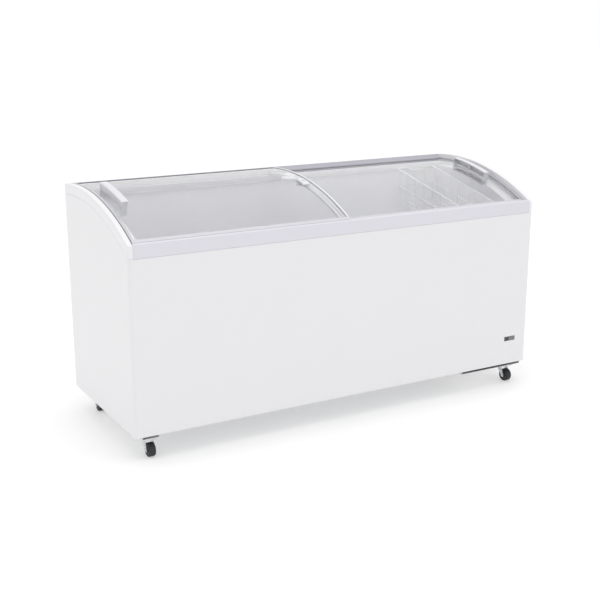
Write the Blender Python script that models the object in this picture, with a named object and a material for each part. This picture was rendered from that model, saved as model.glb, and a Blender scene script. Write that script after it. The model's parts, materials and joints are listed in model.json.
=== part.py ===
"""A shop's chest freezer: a foamed steel cabinet on four castors, under two curved glass lids that slide
past each other. Metres, +Z up, floor at Z = 0, length along X, front towards -Y, closed lids."""

import math

import bmesh
import bpy
from mathutils import Matrix, Vector

# Cabinet
LENGTH = 1.700
DEPTH = 0.620
CORNER_RADIUS = 0.012
SHEET = 0.0008
GAP = 0.0003
FRONT_WALL = 0.060
SIDE_WALL = 0.065
FLOOR_WALL = 0.061

# Curve of the lids and of the end caps, about an axis along X
CURVE_RADIUS = 1.024
CURVE_Y = 0.185
CROWN_HEIGHT = 0.8755
CURVE_STEPS = 20

# End caps
RIDGE_WIDTH = 0.018
RIDGE_DROP = 0.038
RIDGE_ROUND = 0.003
CAP_FLANGE_DEPTH = 0.045
CAP_FLANGE = 0.004

# Rails with their two stepped tracks
FRONT_LIP = 0.012
REAR_LIP = 0.015
REAR_RAIL_DROP = 0.0755
RAIL_ROUND = 0.003
TRACK_LEDGE = 0.013
TRACK_CLEARANCE = 0.0008
SKIRT = 0.002
HANGER_WIDTH = 0.006
HANGER_THICKNESS = 0.003

# Lids
LID_DEPTH = 0.013
LID_PITCH = 0.017
LID_OVERLAP = 0.026
LID_MEETING_X = -0.009
LID_END_PLAY = 0.0015
LID_SIDE_PLAY = 0.004
PROFILE_WIDTH = 0.016
PROFILE_DEPTH = 0.010
END_PROFILE_WIDTH = 0.008
GLASS = 0.004
GLASS_SET = 0.0025
GROOVE = 0.005
LEG_INSET = 0.002
LEG_WIDTH = 0.005

# Lid handles
HANDLE_LENGTH = 0.208
HANDLE_WIDTH = 0.025
HANDLE_HEIGHT = 0.028
HANDLE_WALL = 0.004
HANDLE_INSET = 0.038
HANDLE_Y = -0.004

# Lid lock
LOCK_X = -0.035
LOCK_Y = -0.020
LOCK_LENGTH = 0.056
LOCK_WIDTH = 0.030
LOCK_HEIGHT = 0.008
BARREL_RADIUS = 0.0085
BARREL_FIT = 0.0005
GLASS_HOLE_RADIUS = 0.012
CAM_LENGTH = 0.030
CAM_WIDTH = 0.012
CAM_THICKNESS = 0.002
CAM_DEPTH = 0.0115
STOP_REACH = 0.045
STOP_THICKNESS = 0.012
STOP_Y = (0.066, 0.114)
CATCH_Y = (0.002, 0.030)

# Storage tub
LINER = 0.0012
TRIM_DROP_FRONT = 0.1685
TRIM_DROP_REAR = 0.0555
TRIM_LAP = 0.003
PANEL = 0.002
STEP_LENGTH = 0.295
STEP_HEIGHT = 0.415
BAY_WALL = 0.055

# Evaporator tube on the tub
COIL_TUBE_RADIUS = 0.004
COIL_TURNS = 4
COIL_DROP = 0.2505
COIL_STEP_CLEARANCE = 0.030
COIL_CORNER = 0.006
COIL_CLEARANCE = 0.0008

# Castors and their channels
WHEEL_RADIUS = 0.025
WHEEL_WIDTH = 0.026
AXLE_RADIUS = 0.004
AXLE_FIT = 0.0003
AXLE_HEAD_RADIUS = 0.0065
AXLE_HEAD = 0.0015
TRAIL = 0.022
HUB_RADIUS = 0.009
HUB_PROUD = 0.0008
RIM_RADIUS = 0.0175
DISC_SET = 0.003
TREAD_ROUND = 0.004
FORK_SHEET = 0.0025
FORK_SIDE_GAP = 0.0012
FORK_LENGTH = 0.030
FORK_FOOT = 0.008
FORK_TAPER = 0.62
CROWN_GAP = 0.006
RACE_HEIGHT = 0.004
RACE_RADIUS = 0.021
KINGPIN_RADIUS = 0.005
CASTOR_PLATE = 0.003
CASTOR_PLATE_SIDE = 0.060
CASTOR_END_INSET = 0.065
CASTOR_SIDE_INSET = 0.060
CHANNEL_HEIGHT = 0.0216
CHANNEL_SHEET = 0.002
CHANNEL_WIDTH = 0.064
CHANNEL_END_INSET = 0.028

# Hanging basket
BASKET_LENGTH = 0.185
BASKET_END_GAP = 0.0195
BASKET_DROP_FRONT = 0.2755
BASKET_DROP_REAR = 0.1885
BASKET_TAPER = 0.005
RIM_WIRE = 0.0025
BASKET_WIRE = 0.0016
WIRE_SET = 0.0022
RING_LIFT = 0.004
WIRE_SIDES = 5
CROSS_WIRES = 9
LONG_WIRES = 3
GRIP_WIDTH = 0.090
GRIP_DROP = 0.009
GRIP_BEND = 0.012

# Controller in the front panel
CONTROL_END_INSET = 0.0845
CONTROL_RISE = 0.1055
CONTROL_LENGTH = 0.056
CONTROL_HEIGHT = 0.019
CONTROL_DEPTH = 0.036
CONTROL_RIM = 0.0012
WINDOW_LENGTH = 0.024
BUTTON_LENGTH = 0.0125
BUTTON_TRAVEL = 0.001
BUTTON_GAP = 0.0004

# Machine bay
GRILLE_Y = (-0.200, 0.080)
GRILLE_RISE = 0.032
GRILLE_TOP_INSET = 0.030
GRILLE_THICKNESS = 0.008
GRILLE_FLANGE = 0.008
GRILLE_SLOTS = 9
COVER_INSET = 0.015
COVER_RISE = 0.014
COVER_RETURN = 0.012
COVER_SLOTS = 8
GLAND_RADIUS = 0.011
FAN_RADIUS = 0.085
FAN_BLADES = 5
FAN_HUB_RADIUS = 0.022
FAN_TIP_GAP = 0.004
COMPRESSOR_INSET = 0.120
COMPRESSOR_Y = 0.120
CONDENSER_INSET = 0.026
CONDENSER_DEPTH = 0.020
SHROUD_CLEARANCE = 0.008

HALF_LENGTH = LENGTH / 2
HALF_DEPTH = DEPTH / 2
CURVE_Z = CROWN_HEIGHT - CURVE_RADIUS
RIDGE_X = HALF_LENGTH - RIDGE_WIDTH
TUB_X = HALF_LENGTH - SIDE_WALL
TUB_Y = HALF_DEPTH - FRONT_WALL
FORK_HALF = WHEEL_WIDTH / 2 + FORK_SIDE_GAP + FORK_SHEET
CROWN_BOTTOM = 2 * WHEEL_RADIUS + CROWN_GAP
RACE_BOTTOM = CROWN_BOTTOM + FORK_SHEET + GAP
CASTOR_TOP = RACE_BOTTOM + RACE_HEIGHT + CASTOR_PLATE
CHANNEL_BOTTOM = CASTOR_TOP + GAP
CABINET_BOTTOM = CHANNEL_BOTTOM + CHANNEL_HEIGHT + GAP
BASE_TOP = CABINET_BOTTOM + SHEET
TUB_FLOOR = CABINET_BOTTOM + FLOOR_WALL
STEP_X = TUB_X - STEP_LENGTH
BAY_X = STEP_X + BAY_WALL
BAY_TOP = STEP_HEIGHT - BAY_WALL
REAR_RAIL_BOTTOM = CROWN_HEIGHT - REAR_RAIL_DROP
TRIM_LINE_FRONT = CROWN_HEIGHT - TRIM_DROP_FRONT
TRIM_LINE_REAR = CROWN_HEIGHT - TRIM_DROP_REAR
COIL_TOP = CROWN_HEIGHT - COIL_DROP
COIL_PITCH = (COIL_TOP - STEP_HEIGHT - COIL_STEP_CLEARANCE) / COIL_TURNS
BASKET_BOTTOM_FRONT = CROWN_HEIGHT - BASKET_DROP_FRONT
BASKET_BOTTOM_REAR = CROWN_HEIGHT - BASKET_DROP_REAR
CASTOR_X = HALF_LENGTH - CASTOR_END_INSET
CASTOR_Y = HALF_DEPTH - CASTOR_SIDE_INSET
CONTROL_X = HALF_LENGTH - CONTROL_END_INSET
CONTROL_Z = CABINET_BOTTOM + CONTROL_RISE
GRILLE_Z = (CABINET_BOTTOM + GRILLE_RISE, BAY_TOP - GRILLE_TOP_INSET)
COVER_X = (BAY_X + COVER_INSET, HALF_LENGTH - COVER_INSET)
COVER_Z = (CABINET_BOTTOM + COVER_RISE, BAY_TOP - COVER_INSET)
FAN_Y = (GRILLE_Y[0] + GRILLE_Y[1]) / 2
FAN_Z = (GRILLE_Z[0] + GRILLE_Z[1]) / 2
COMPRESSOR_X = BAY_X + COMPRESSOR_INSET
CONDENSER_X = (HALF_LENGTH - CONDENSER_INSET - CONDENSER_DEPTH, HALF_LENGTH - CONDENSER_INSET)
SHROUD_X = CONDENSER_X[0] - SHROUD_CLEARANCE


def surface(name, colour, roughness, metallic=0.0):
    """A plain finish: linear colour, roughness and metallic value."""
    material = bpy.data.materials.new(name)
    material.use_nodes = True
    shader = material.node_tree.nodes["Principled BSDF"]
    shader.inputs["Base Color"].default_value = (*colour, 1.0)
    shader.inputs["Roughness"].default_value = roughness
    shader.inputs["Metallic"].default_value = metallic
    return material


def made(name, bm, material, origin=(0.0, 0.0, 0.0), turn=0.0, smooth=False):
    """The shape as an object whose origin lies at origin. turn leans a shape drawn upright about X."""
    bmesh.ops.recalc_face_normals(bm, faces=bm.faces)
    mesh = bpy.data.meshes.new(name)
    if not turn:
        bmesh.ops.translate(bm, verts=bm.verts, vec=-Vector(origin))
    bm.to_mesh(mesh)
    bm.free()
    if smooth:
        mesh.shade_smooth()
        mesh.set_sharp_from_angle(angle=math.radians(35))
    mesh.materials.append(material)
    thing = bpy.data.objects.new(name, mesh)
    thing.location = origin
    thing.rotation_euler = (turn, 0.0, 0.0)
    bpy.context.scene.collection.objects.link(thing)
    return thing


def shaped(thing, cutter, operation="DIFFERENCE"):
    """Cuts or joins one solid by another, which is then only a guide."""
    step = thing.modifiers.new(cutter.name, "BOOLEAN")
    step.operation = operation
    step.solver = "EXACT"
    step.object = cutter
    cutter.hide_render = True
    cutter.display_type = "WIRE"
    return thing


def held_by(parent, *children):
    """Hangs pieces on a parent without moving them."""
    bpy.context.view_layer.update()
    for child in children:
        child.parent = parent
        child.matrix_parent_inverse = parent.matrix_world.inverted()


def empty(name, location):
    mark = bpy.data.objects.new(name, None)
    mark.location = location
    bpy.context.scene.collection.objects.link(mark)
    return mark


def across(axis, a, b, along):
    """A point from two coordinates in a plane and one along the axis square to it."""
    if axis == "X":
        return (along, a, b)
    if axis == "Y":
        return (a, along, b)
    return (a, b, along)


def add_prism(bm, outline, axis, low, high):
    """Adds an outline drawn across an axis and extruded along it from low to high."""
    bottom = [bm.verts.new(across(axis, a, b, low)) for a, b in outline]
    face = bm.faces.new(bottom)
    grown = bmesh.ops.extrude_face_region(bm, geom=[face])["geom"]
    top = [item for item in grown if isinstance(item, bmesh.types.BMVert)]
    bmesh.ops.translate(bm, verts=top, vec=across(axis, 0.0, 0.0, high - low))
    return bottom + top


def prism(name, outline, axis, low, high, material, smooth=False):
    bm = bmesh.new()
    add_prism(bm, outline, axis, low, high)
    return made(name, bm, material, smooth=smooth)


def rectangle(low_a, high_a, low_b, high_b):
    return [(low_a, low_b), (high_a, low_b), (high_a, high_b), (low_a, high_b)]


def add_box(bm, low, high):
    return add_prism(bm, rectangle(low[0], high[0], low[1], high[1]), "Z", low[2], high[2])


def box(name, low, high, material):
    bm = bmesh.new()
    add_box(bm, low, high)
    return made(name, bm, material)


def add_cylinder(bm, centre, axis, radius, low, high, sides=24):
    """A round bar along one axis. centre is the point's two coordinates across that axis."""
    outline = []
    for index in range(sides):
        angle = 2 * math.pi * index / sides
        outline.append((centre[0] + radius * math.cos(angle), centre[1] + radius * math.sin(angle)))
    return add_prism(bm, outline, axis, low, high)


def cylinder(name, centre, axis, radius, low, high, material, sides=24):
    bm = bmesh.new()
    add_cylinder(bm, centre, axis, radius, low, high, sides)
    return made(name, bm, material, smooth=True)


def add_loft(bm, rings, closed=False):
    """Skins a row of rings with the same number of points and caps its ends, unless it runs round."""
    loops = [[bm.verts.new(point) for point in ring] for ring in rings]
    pairs = list(zip(loops, loops[1:]))
    if closed:
        pairs.append((loops[-1], loops[0]))
    for near, far in pairs:
        for index, corner in enumerate(near):
            after = (index + 1) % len(near)
            bm.faces.new((corner, near[after], far[after], far[index]))
    if not closed:
        bm.faces.new(loops[0])
        bm.faces.new(loops[-1])


def add_tube(bm, points, radius, sides=8, closed=False):
    """A round tube along a path. Its rings lie in the planes that halve the bends."""
    path = [Vector(point) for point in points]
    count = len(path)
    side = None
    rings = []
    for index, here in enumerate(path):
        before = path[index - 1] if closed or index else None
        after = path[(index + 1) % count] if closed or index < count - 1 else None
        ahead = (after - here).normalized() if after else (here - before).normalized()
        behind = (here - before).normalized() if before else ahead
        tangent = (ahead + behind).normalized()
        if side is None:
            side = tangent.orthogonal().normalized()
        side = (side - tangent * side.dot(tangent)).normalized()
        other = tangent.cross(side)
        stretch = 1 / max(0.5, tangent.dot(ahead))
        bend = (ahead - behind)
        bend = bend.normalized() if bend.length > 1e-6 else None
        ring = []
        for step in range(sides):
            angle = 2 * math.pi * step / sides
            spoke = side * math.cos(angle) + other * math.sin(angle)
            if bend is not None:
                spoke += bend * spoke.dot(bend) * (stretch - 1)
            ring.append(here + spoke * radius)
        rings.append(ring)
    add_loft(bm, rings, closed)


def tube(name, points, radius, material, sides=8, closed=False):
    bm = bmesh.new()
    add_tube(bm, points, radius, sides, closed)
    return made(name, bm, material, smooth=True)


def rounded_corners(corners, radius, steps, closed=True):
    """Replaces each corner of a 3-D path by an arc-like bend of the given radius."""
    points = [Vector(corner) for corner in corners]
    count = len(points)
    path = []
    for index, corner in enumerate(points):
        if not closed and index in (0, count - 1):
            path.append(corner)
            continue
        back = (points[index - 1] - corner).normalized()
        ahead = (points[(index + 1) % count] - corner).normalized()
        start = corner + back * radius
        end = corner + ahead * radius
        for step in range(steps + 1):
            share = step / steps
            first = start.lerp(corner, share)
            second = corner.lerp(end, share)
            path.append(first.lerp(second, share))
    return path


def turned(name, profile, origin, axis, material, sides=20):
    """A closed profile of (radius, along) points turned round an axis through origin."""
    bm = bmesh.new()
    rings = []
    for step in range(sides):
        angle = 2 * math.pi * step / sides
        ring = []
        for radius, along in profile:
            a = radius * math.cos(angle)
            b = radius * math.sin(angle)
            ring.append(Vector(origin) + Vector(across(axis, a, b, along)))
        rings.append(ring)
    add_loft(bm, rings, closed=True)
    return made(name, bm, material, origin=origin, smooth=True)


def curve_height(radius, y):
    """Height of the lid curve, or of one beside it, over a place in depth."""
    return CURVE_Z + math.sqrt(radius ** 2 - (y - CURVE_Y) ** 2)


def angle_at(y, radius=CURVE_RADIUS):
    """Angle about the curve's axis, from upright, growing towards the front."""
    return math.asin((CURVE_Y - y) / radius)


def on_curve(x, radius, angle):
    return Vector((x, CURVE_Y - radius * math.sin(angle), CURVE_Z + radius * math.cos(angle)))


def side_point(angle, radius):
    """The same point in the Y-Z plane only."""
    point = on_curve(0.0, radius, angle)
    return (point.y, point.z)


def arc(radius, first_y, last_y, steps=CURVE_STEPS):
    """Points in Y-Z along a curve beside the lids', from one depth to another."""
    first = angle_at(first_y, radius)
    last = angle_at(last_y, radius)
    return [side_point(first + (last - first) * step / steps, radius) for step in range(steps + 1)]


def add_bar(bm, section, first, last, steps=CURVE_STEPS):
    """Sweeps a section of (x, radius) corners along the lid curve."""
    rings = []
    for step in range(steps + 1):
        angle = first + (last - first) * step / steps
        rings.append([on_curve(x, radius, angle) for x, radius in section])
    add_loft(bm, rings)


def bar(name, section, first, last, material, steps=CURVE_STEPS):
    bm = bmesh.new()
    add_bar(bm, section, first, last, steps)
    return made(name, bm, material, smooth=True)


def mirrored(section):
    return [(-x, other) for x, other in reversed(section)]


# --- The cabinet's shells ---


def footprint(inset, corner, rear_overrun=0.0):
    """The cabinet from above: round front corners, square rear ones."""
    half = HALF_LENGTH - inset
    front = -HALF_DEPTH + inset
    rear = HALF_DEPTH + rear_overrun
    outline = [(half, rear), (-half, rear)]
    steps = 5
    for centre_x, start in ((-half + corner, math.pi), (half - corner, 1.5 * math.pi)):
        for step in range(steps + 1):
            angle = start + 0.5 * math.pi * step / steps
            outline.append((centre_x + corner * math.cos(angle), front + corner + corner * math.sin(angle)))
    return outline


def side_silhouette(drop, low):
    """The cabinet from the side, under a curve that lies drop below the caps' ridges."""
    reach = HALF_DEPTH + 0.010
    top = arc(CURVE_RADIUS - drop, reach, -reach)
    return top + [(-reach, low), (reach, low)]


def build_casing(white):
    """Front and sides in one bent sheet, open at the back, with windows for the controller and the grille."""
    wall = footprint(0.0, CORNER_RADIUS)
    high = CROWN_HEIGHT + 0.050
    casing = prism("outer_casing", wall, "Z", CABINET_BOTTOM, high, white, smooth=True)
    hollow = footprint(SHEET, CORNER_RADIUS - SHEET, rear_overrun=0.020)
    shaped(casing, prism("casing_hollow", hollow, "Z", CABINET_BOTTOM - 0.010, high + 0.010, white))
    below = side_silhouette(RIDGE_DROP + GAP, CABINET_BOTTOM - 0.010)
    shaped(casing, prism("casing_side_view", below, "X", -LENGTH, LENGTH, white), "INTERSECT")
    half = CONTROL_LENGTH / 2 + GAP
    tall = CONTROL_HEIGHT / 2 + GAP
    window = rectangle(CONTROL_X - half, CONTROL_X + half, CONTROL_Z - tall, CONTROL_Z + tall)
    shaped(casing, prism("control_hole", window, "Y", -DEPTH, -HALF_DEPTH + 0.005, white))
    grille = rectangle(GRILLE_Y[0], GRILLE_Y[1], GRILLE_Z[0], GRILLE_Z[1])
    shaped(casing, prism("grille_hole", grille, "X", HALF_LENGTH - 0.005, LENGTH, white))
    return casing


def build_rear_panel(white):
    """The back sheet between the sides. Its top steps down for the rear rail, and it is open at the bay."""
    side = HALF_LENGTH - SHEET - GAP
    corner_top = curve_height(CURVE_RADIUS - RIDGE_DROP, HALF_DEPTH) - GAP
    rail_low = REAR_RAIL_BOTTOM - GAP
    low = CABINET_BOTTOM
    outline = [(-side, low), (side, low), (side, corner_top), (RIDGE_X, corner_top), (RIDGE_X, rail_low)]
    outline += [(-RIDGE_X, rail_low), (-RIDGE_X, corner_top), (-side, corner_top)]
    panel = prism("rear_panel", outline, "Y", HALF_DEPTH - SHEET, HALF_DEPTH, white)
    hole = rectangle(COVER_X[0], COVER_X[1], COVER_Z[0], COVER_Z[1])
    return shaped(panel, prism("cover_hole", hole, "Y", HALF_DEPTH - 0.005, DEPTH, white))


def trimmed_inside(thing, material):
    """Rounds a piece's front corners to lie inside the bent casing."""
    inset = SHEET + GAP
    plan = footprint(inset, CORNER_RADIUS - inset, rear_overrun=0.020)
    return shaped(thing, prism(thing.name + "_plan", plan, "Z", 0.0, 2 * CROWN_HEIGHT, material), "INTERSECT")


def build_base_pan(zinc):
    """The bottom sheet, which steps up over the machine bay at the right end."""
    left = -HALF_LENGTH + SHEET + GAP
    right = HALF_LENGTH - SHEET - GAP
    low = CABINET_BOTTOM + GAP
    outline = [(left, low), (BAY_X, low), (BAY_X, BAY_TOP), (right, BAY_TOP), (right, BAY_TOP + SHEET)]
    outline += [(BAY_X - SHEET, BAY_TOP + SHEET), (BAY_X - SHEET, low + SHEET), (left, low + SHEET)]
    reach = HALF_DEPTH - SHEET - GAP
    return trimmed_inside(prism("base_pan", outline, "Y", -reach, reach, zinc), zinc)


def trim_line(y):
    """Height of the sloping line where the tub's wall disappears behind its trim."""
    slope = (TRIM_LINE_REAR - TRIM_LINE_FRONT) / (2 * TUB_Y)
    return TRIM_LINE_FRONT + slope * (y + TUB_Y)


def add_tub_block(bm, spare, extra_top=0.0):
    """The tub's hollow with its step over the machine bay, grown by spare on every side."""
    side = TUB_X + spare
    low = TUB_FLOOR - spare
    step_x = STEP_X + spare
    step_z = STEP_HEIGHT - spare
    top = CROWN_HEIGHT
    outline = [(-side, low), (step_x, low), (step_x, step_z), (side, step_z), (side, top), (-side, top)]
    reach = TUB_Y + spare
    for vert in add_prism(bm, outline, "Y", -reach, reach):
        if vert.co.z > STEP_HEIGHT + LINER:
            vert.co.z = trim_line(vert.co.y) + TRIM_LAP + extra_top


def build_liner(white):
    bm = bmesh.new()
    add_tub_block(bm, LINER)
    liner = made("inner_liner", bm, white)
    bm = bmesh.new()
    add_tub_block(bm, 0.0, extra_top=0.050)
    return shaped(liner, made("liner_hollow", bm, white))


def build_foam(cream):
    """Foam between casing and tub, under the rails and caps, with room for the evaporator tube."""
    side = HALF_LENGTH - SHEET - GAP
    reach = HALF_DEPTH - SHEET - GAP
    low = BASE_TOP + 2 * GAP
    flange = CURVE_RADIUS - CAP_FLANGE_DEPTH - CAP_FLANGE - GAP
    inside = TUB_Y - SKIRT - GAP
    outline = [(-reach, low), (-reach, FRONT_RAIL_BOTTOM - GAP), (-inside, FRONT_RAIL_BOTTOM - GAP)]
    outline += arc(flange, -inside, inside, 10)
    outline += [(inside, REAR_RAIL_BOTTOM - GAP), (reach, REAR_RAIL_BOTTOM - GAP), (reach, low)]
    foam = prism("insulation_foam", outline, "X", -side, side, cream)
    bm = bmesh.new()
    add_tub_block(bm, LINER + GAP, extra_top=0.100)
    shaped(foam, made("tub_space", bm, cream))
    bay = (BAY_X - SHEET - GAP, -DEPTH, 0.0), (LENGTH, DEPTH, BAY_TOP + SHEET + GAP)
    shaped(foam, box("bay_space", *bay, cream))
    room = LINER + 2 * COIL_CLEARANCE + 2 * COIL_TUBE_RADIUS
    low_z = COIL_TOP - COIL_TURNS * COIL_PITCH - 2 * COIL_TUBE_RADIUS
    high_z = COIL_TOP + 2 * COIL_TUBE_RADIUS
    band = (-TUB_X - room, -TUB_Y - room, low_z), (TUB_X + room, TUB_Y + room, high_z)
    shaped(foam, box("coil_space", *band, cream))
    return trimmed_inside(foam, cream)


def build_evaporator(metal):
    """One tube wound down round the tub above its step, with its ends in the foam."""
    away = LINER + COIL_CLEARANCE + COIL_TUBE_RADIUS
    side = TUB_X + away
    reach = TUB_Y + away
    corners = []
    for quarter in range(4 * COIL_TURNS + 1):
        x = side if quarter % 4 in (1, 2) else -side
        y = reach if quarter % 4 in (2, 3) else -reach
        corners.append((x, y, COIL_TOP - COIL_PITCH * quarter / 4))
    path = rounded_corners(corners, COIL_CORNER, 2, closed=False)
    return tube("evaporator_coil", path, COIL_TUBE_RADIUS, metal, sides=6)


# --- Rails, caps and trim round the opening ---

FRONT_STOP = angle_at(-HALF_DEPTH + FRONT_LIP)
REAR_STOP = angle_at(HALF_DEPTH - REAR_LIP)
UPPER_TRACK = CURVE_RADIUS - LID_DEPTH - TRACK_CLEARANCE
LOWER_TRACK = UPPER_TRACK - LID_PITCH
FRONT_STEP = FRONT_STOP - TRACK_LEDGE / CURVE_RADIUS
REAR_STEP = REAR_STOP + TRACK_LEDGE / CURVE_RADIUS
FRONT_RAIL_BOTTOM = curve_height(CURVE_RADIUS - RIDGE_DROP - GAP, -HALF_DEPTH + SHEET) + GAP
SKIRT_FACE = TUB_Y - GAP - SKIRT
HANGER_FRONT_TOP = TRIM_LINE_FRONT + HANGER_THICKNESS
HANGER_REAR_TOP = TRIM_LINE_REAR + HANGER_THICKNESS


def track_profile(stop, step, lip):
    """The stepped tracks from a rail's lip inwards, as Y-Z points."""
    return [lip, side_point(stop, UPPER_TRACK), side_point(step, UPPER_TRACK), side_point(step, LOWER_TRACK),
            side_point(angle_at(math.copysign(SKIRT_FACE, lip[0]), LOWER_TRACK), LOWER_TRACK)]


def skirt(name, towards, trim, material):
    """The rail's inner skirt over the tub's edge, with the ledge that the basket hangs on."""
    inner = SKIRT_FACE
    outer = TUB_Y - GAP
    reach = inner - HANGER_WIDTH
    top = curve_height(LOWER_TRACK, towards * outer) - 0.0015
    outline = [(outer, top), (outer, trim), (reach, trim), (reach, trim + HANGER_THICKNESS)]
    outline += [(inner, trim + HANGER_THICKNESS), (inner, top)]
    outline = [(towards * y, z) for y, z in outline]
    end = TUB_X - PANEL - 2 * GAP
    return prism(name, outline, "X", -end, end, material)


def build_front_rail(lilac):
    """The front moulding: a flush band with a lip, two stepped tracks and an inner skirt."""
    front = -HALF_DEPTH
    lip_top = curve_height(CURVE_RADIUS, front + FRONT_LIP)
    lip = side_point(FRONT_STOP, CURVE_RADIUS)
    outline = [(front, FRONT_RAIL_BOTTOM), (front, lip_top - RAIL_ROUND), (front + RAIL_ROUND, lip_top)]
    outline += track_profile(FRONT_STOP, FRONT_STEP, lip)
    lap_top = trim_line(-SKIRT_FACE) + TRIM_LAP + GAP
    outer = TUB_Y + LINER + 2 * GAP
    outline += [(-SKIRT_FACE, lap_top), (-outer, lap_top), (-outer, FRONT_RAIL_BOTTOM)]
    end = RIDGE_X - GAP
    rail = prism("front_rail", outline, "X", -end, end, lilac)
    return shaped(rail, skirt("front_skirt", -1, TRIM_LINE_FRONT, lilac), "UNION")


def build_rear_rail(lilac):
    rear = HALF_DEPTH
    rear_top = curve_height(CURVE_RADIUS, rear - RAIL_ROUND)
    lip = side_point(REAR_STOP, CURVE_RADIUS)
    outline = [(rear, REAR_RAIL_BOTTOM), (rear, rear_top - RAIL_ROUND), (rear - RAIL_ROUND, rear_top)]
    outline += track_profile(REAR_STOP, REAR_STEP, lip)
    outer = TUB_Y + LINER + 2 * GAP
    lap_top = trim_line(outer) + TRIM_LAP + GAP
    outline += [(SKIRT_FACE, lap_top), (outer, lap_top), (outer, REAR_RAIL_BOTTOM)]
    end = RIDGE_X - GAP
    rail = prism("rear_rail", outline, "X", -end, end, lilac)
    return shaped(rail, skirt("rear_skirt", 1, TRIM_LINE_REAR, lilac), "UNION")


def build_end_cap(name, hand, white):
    """An arched end moulding: the ridge beside the lids and an arched flange inside, over the trim plate."""
    ridge = arc(CURVE_RADIUS, HALF_DEPTH, -HALF_DEPTH)
    under = arc(CURVE_RADIUS - RIDGE_DROP, -HALF_DEPTH, HALF_DEPTH)
    bm = bmesh.new()
    low, high = sorted((hand * RIDGE_X, hand * HALF_LENGTH))
    add_prism(bm, ridge + under, "X", low, high)
    outer = [edge for edge in bm.edges if all(
        abs(vert.co.x - hand * HALF_LENGTH) < 1e-6 and
        abs(math.hypot(vert.co.y - CURVE_Y, vert.co.z - CURVE_Z) - CURVE_RADIUS) < 1e-5 for vert in edge.verts)]
    outer = [edge for edge in outer if abs(edge.verts[0].co.y - edge.verts[1].co.y) > 0.010]
    bmesh.ops.bevel(bm, geom=outer, offset=RIDGE_ROUND, segments=2, affect="EDGES", profile=0.5)
    cap = made(name, bm, white, smooth=True)
    top = CURVE_RADIUS - CAP_FLANGE_DEPTH
    inner = TUB_X - GAP - PANEL
    web = RIDGE_X + CAP_FLANGE
    root = CURVE_RADIUS - RIDGE_DROP + CAP_FLANGE
    section = [(web, root), (RIDGE_X, root), (RIDGE_X, top), (inner, top), (inner, top - CAP_FLANGE)]
    section += [(web, top - CAP_FLANGE)]
    section = section if hand > 0 else mirrored(section)
    reach = SKIRT_FACE - GAP
    flange = bar(name + "_flange", section, angle_at(-reach, top), angle_at(reach, top), white, steps=12)
    shaped(cap, flange, "UNION")
    plan = footprint(0.0, CORNER_RADIUS)
    return shaped(cap, prism(name + "_plan", plan, "Z", 0.0, LENGTH, white), "INTERSECT")


def build_inner_panel(name, hand, lilac):
    """The trim plate between the tub's sloping edge and the arched cap."""
    reach = SKIRT_FACE - GAP
    outline = [(-reach, trim_line(-reach)), (reach, trim_line(reach))]
    outline += arc(CURVE_RADIUS - CAP_FLANGE_DEPTH - CAP_FLANGE - GAP, reach, -reach, 12)
    face = TUB_X - GAP
    low, high = sorted((hand * face, hand * (face - PANEL)))
    return prism(name, outline, "X", low, high, lilac)


# --- Lids ---

LID_OUTER_X = RIDGE_X - LID_SIDE_PLAY
END_PLAY = LID_END_PLAY / CURVE_RADIUS
UPPER = {"top": CURVE_RADIUS, "front": FRONT_STOP - END_PLAY, "rear": REAR_STOP + END_PLAY,
         "low_x": -LID_OUTER_X, "high_x": LID_MEETING_X + LID_OVERLAP / 2, "hand": -1}
LOWER = {"top": CURVE_RADIUS - LID_PITCH, "front": FRONT_STEP - END_PLAY, "rear": REAR_STEP + END_PLAY,
         "low_x": LID_MEETING_X - LID_OVERLAP / 2, "high_x": LID_OUTER_X, "hand": 1}
GLASS_TOP = GLASS_SET
GLASS_LOW = GLASS_SET + GLASS


def build_cross_profile(name, lid, edge, inwards, metal):
    """A lid's front or rear extrusion: a groove for the glass and a leg that slides on the track."""
    corners = [(0.0, 0.0), (0.0, PROFILE_DEPTH), (LEG_INSET, PROFILE_DEPTH), (LEG_INSET, LID_DEPTH)]
    corners += [(LEG_INSET + LEG_WIDTH, LID_DEPTH), (LEG_INSET + LEG_WIDTH, PROFILE_DEPTH)]
    corners += [(PROFILE_WIDTH, PROFILE_DEPTH), (PROFILE_WIDTH, GLASS_LOW + GAP)]
    corners += [(PROFILE_WIDTH - GROOVE, GLASS_LOW + GAP), (PROFILE_WIDTH - GROOVE, GLASS_TOP - GAP)]
    corners += [(PROFILE_WIDTH, GLASS_TOP - GAP), (PROFILE_WIDTH, 0.0)]
    outline = [side_point(edge + inwards * across_lid / CURVE_RADIUS, lid["top"] - down)
               for across_lid, down in corners]
    return prism(name, outline, "X", lid["low_x"], lid["high_x"], metal)


def build_end_profile(name, lid, x, inwards, metal):
    """A lid's arched end extrusion, which holds the curved edge of the glass."""
    top = lid["top"]
    section = [(x, top), (x + inwards * END_PROFILE_WIDTH, top)]
    section += [(x + inwards * END_PROFILE_WIDTH, top - GLASS_TOP + GAP)]
    groove_x = x + inwards * (END_PROFILE_WIDTH - GROOVE)
    section += [(groove_x, top - GLASS_TOP + GAP), (groove_x, top - GLASS_LOW - GAP)]
    section += [(x + inwards * END_PROFILE_WIDTH, top - GLASS_LOW - GAP)]
    section += [(x + inwards * END_PROFILE_WIDTH, top - PROFILE_DEPTH), (x, top - PROFILE_DEPTH)]
    tuck = (PROFILE_WIDTH + GAP) / CURVE_RADIUS
    return bar(name, section, lid["front"] - tuck, lid["rear"] + tuck, metal)


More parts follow.
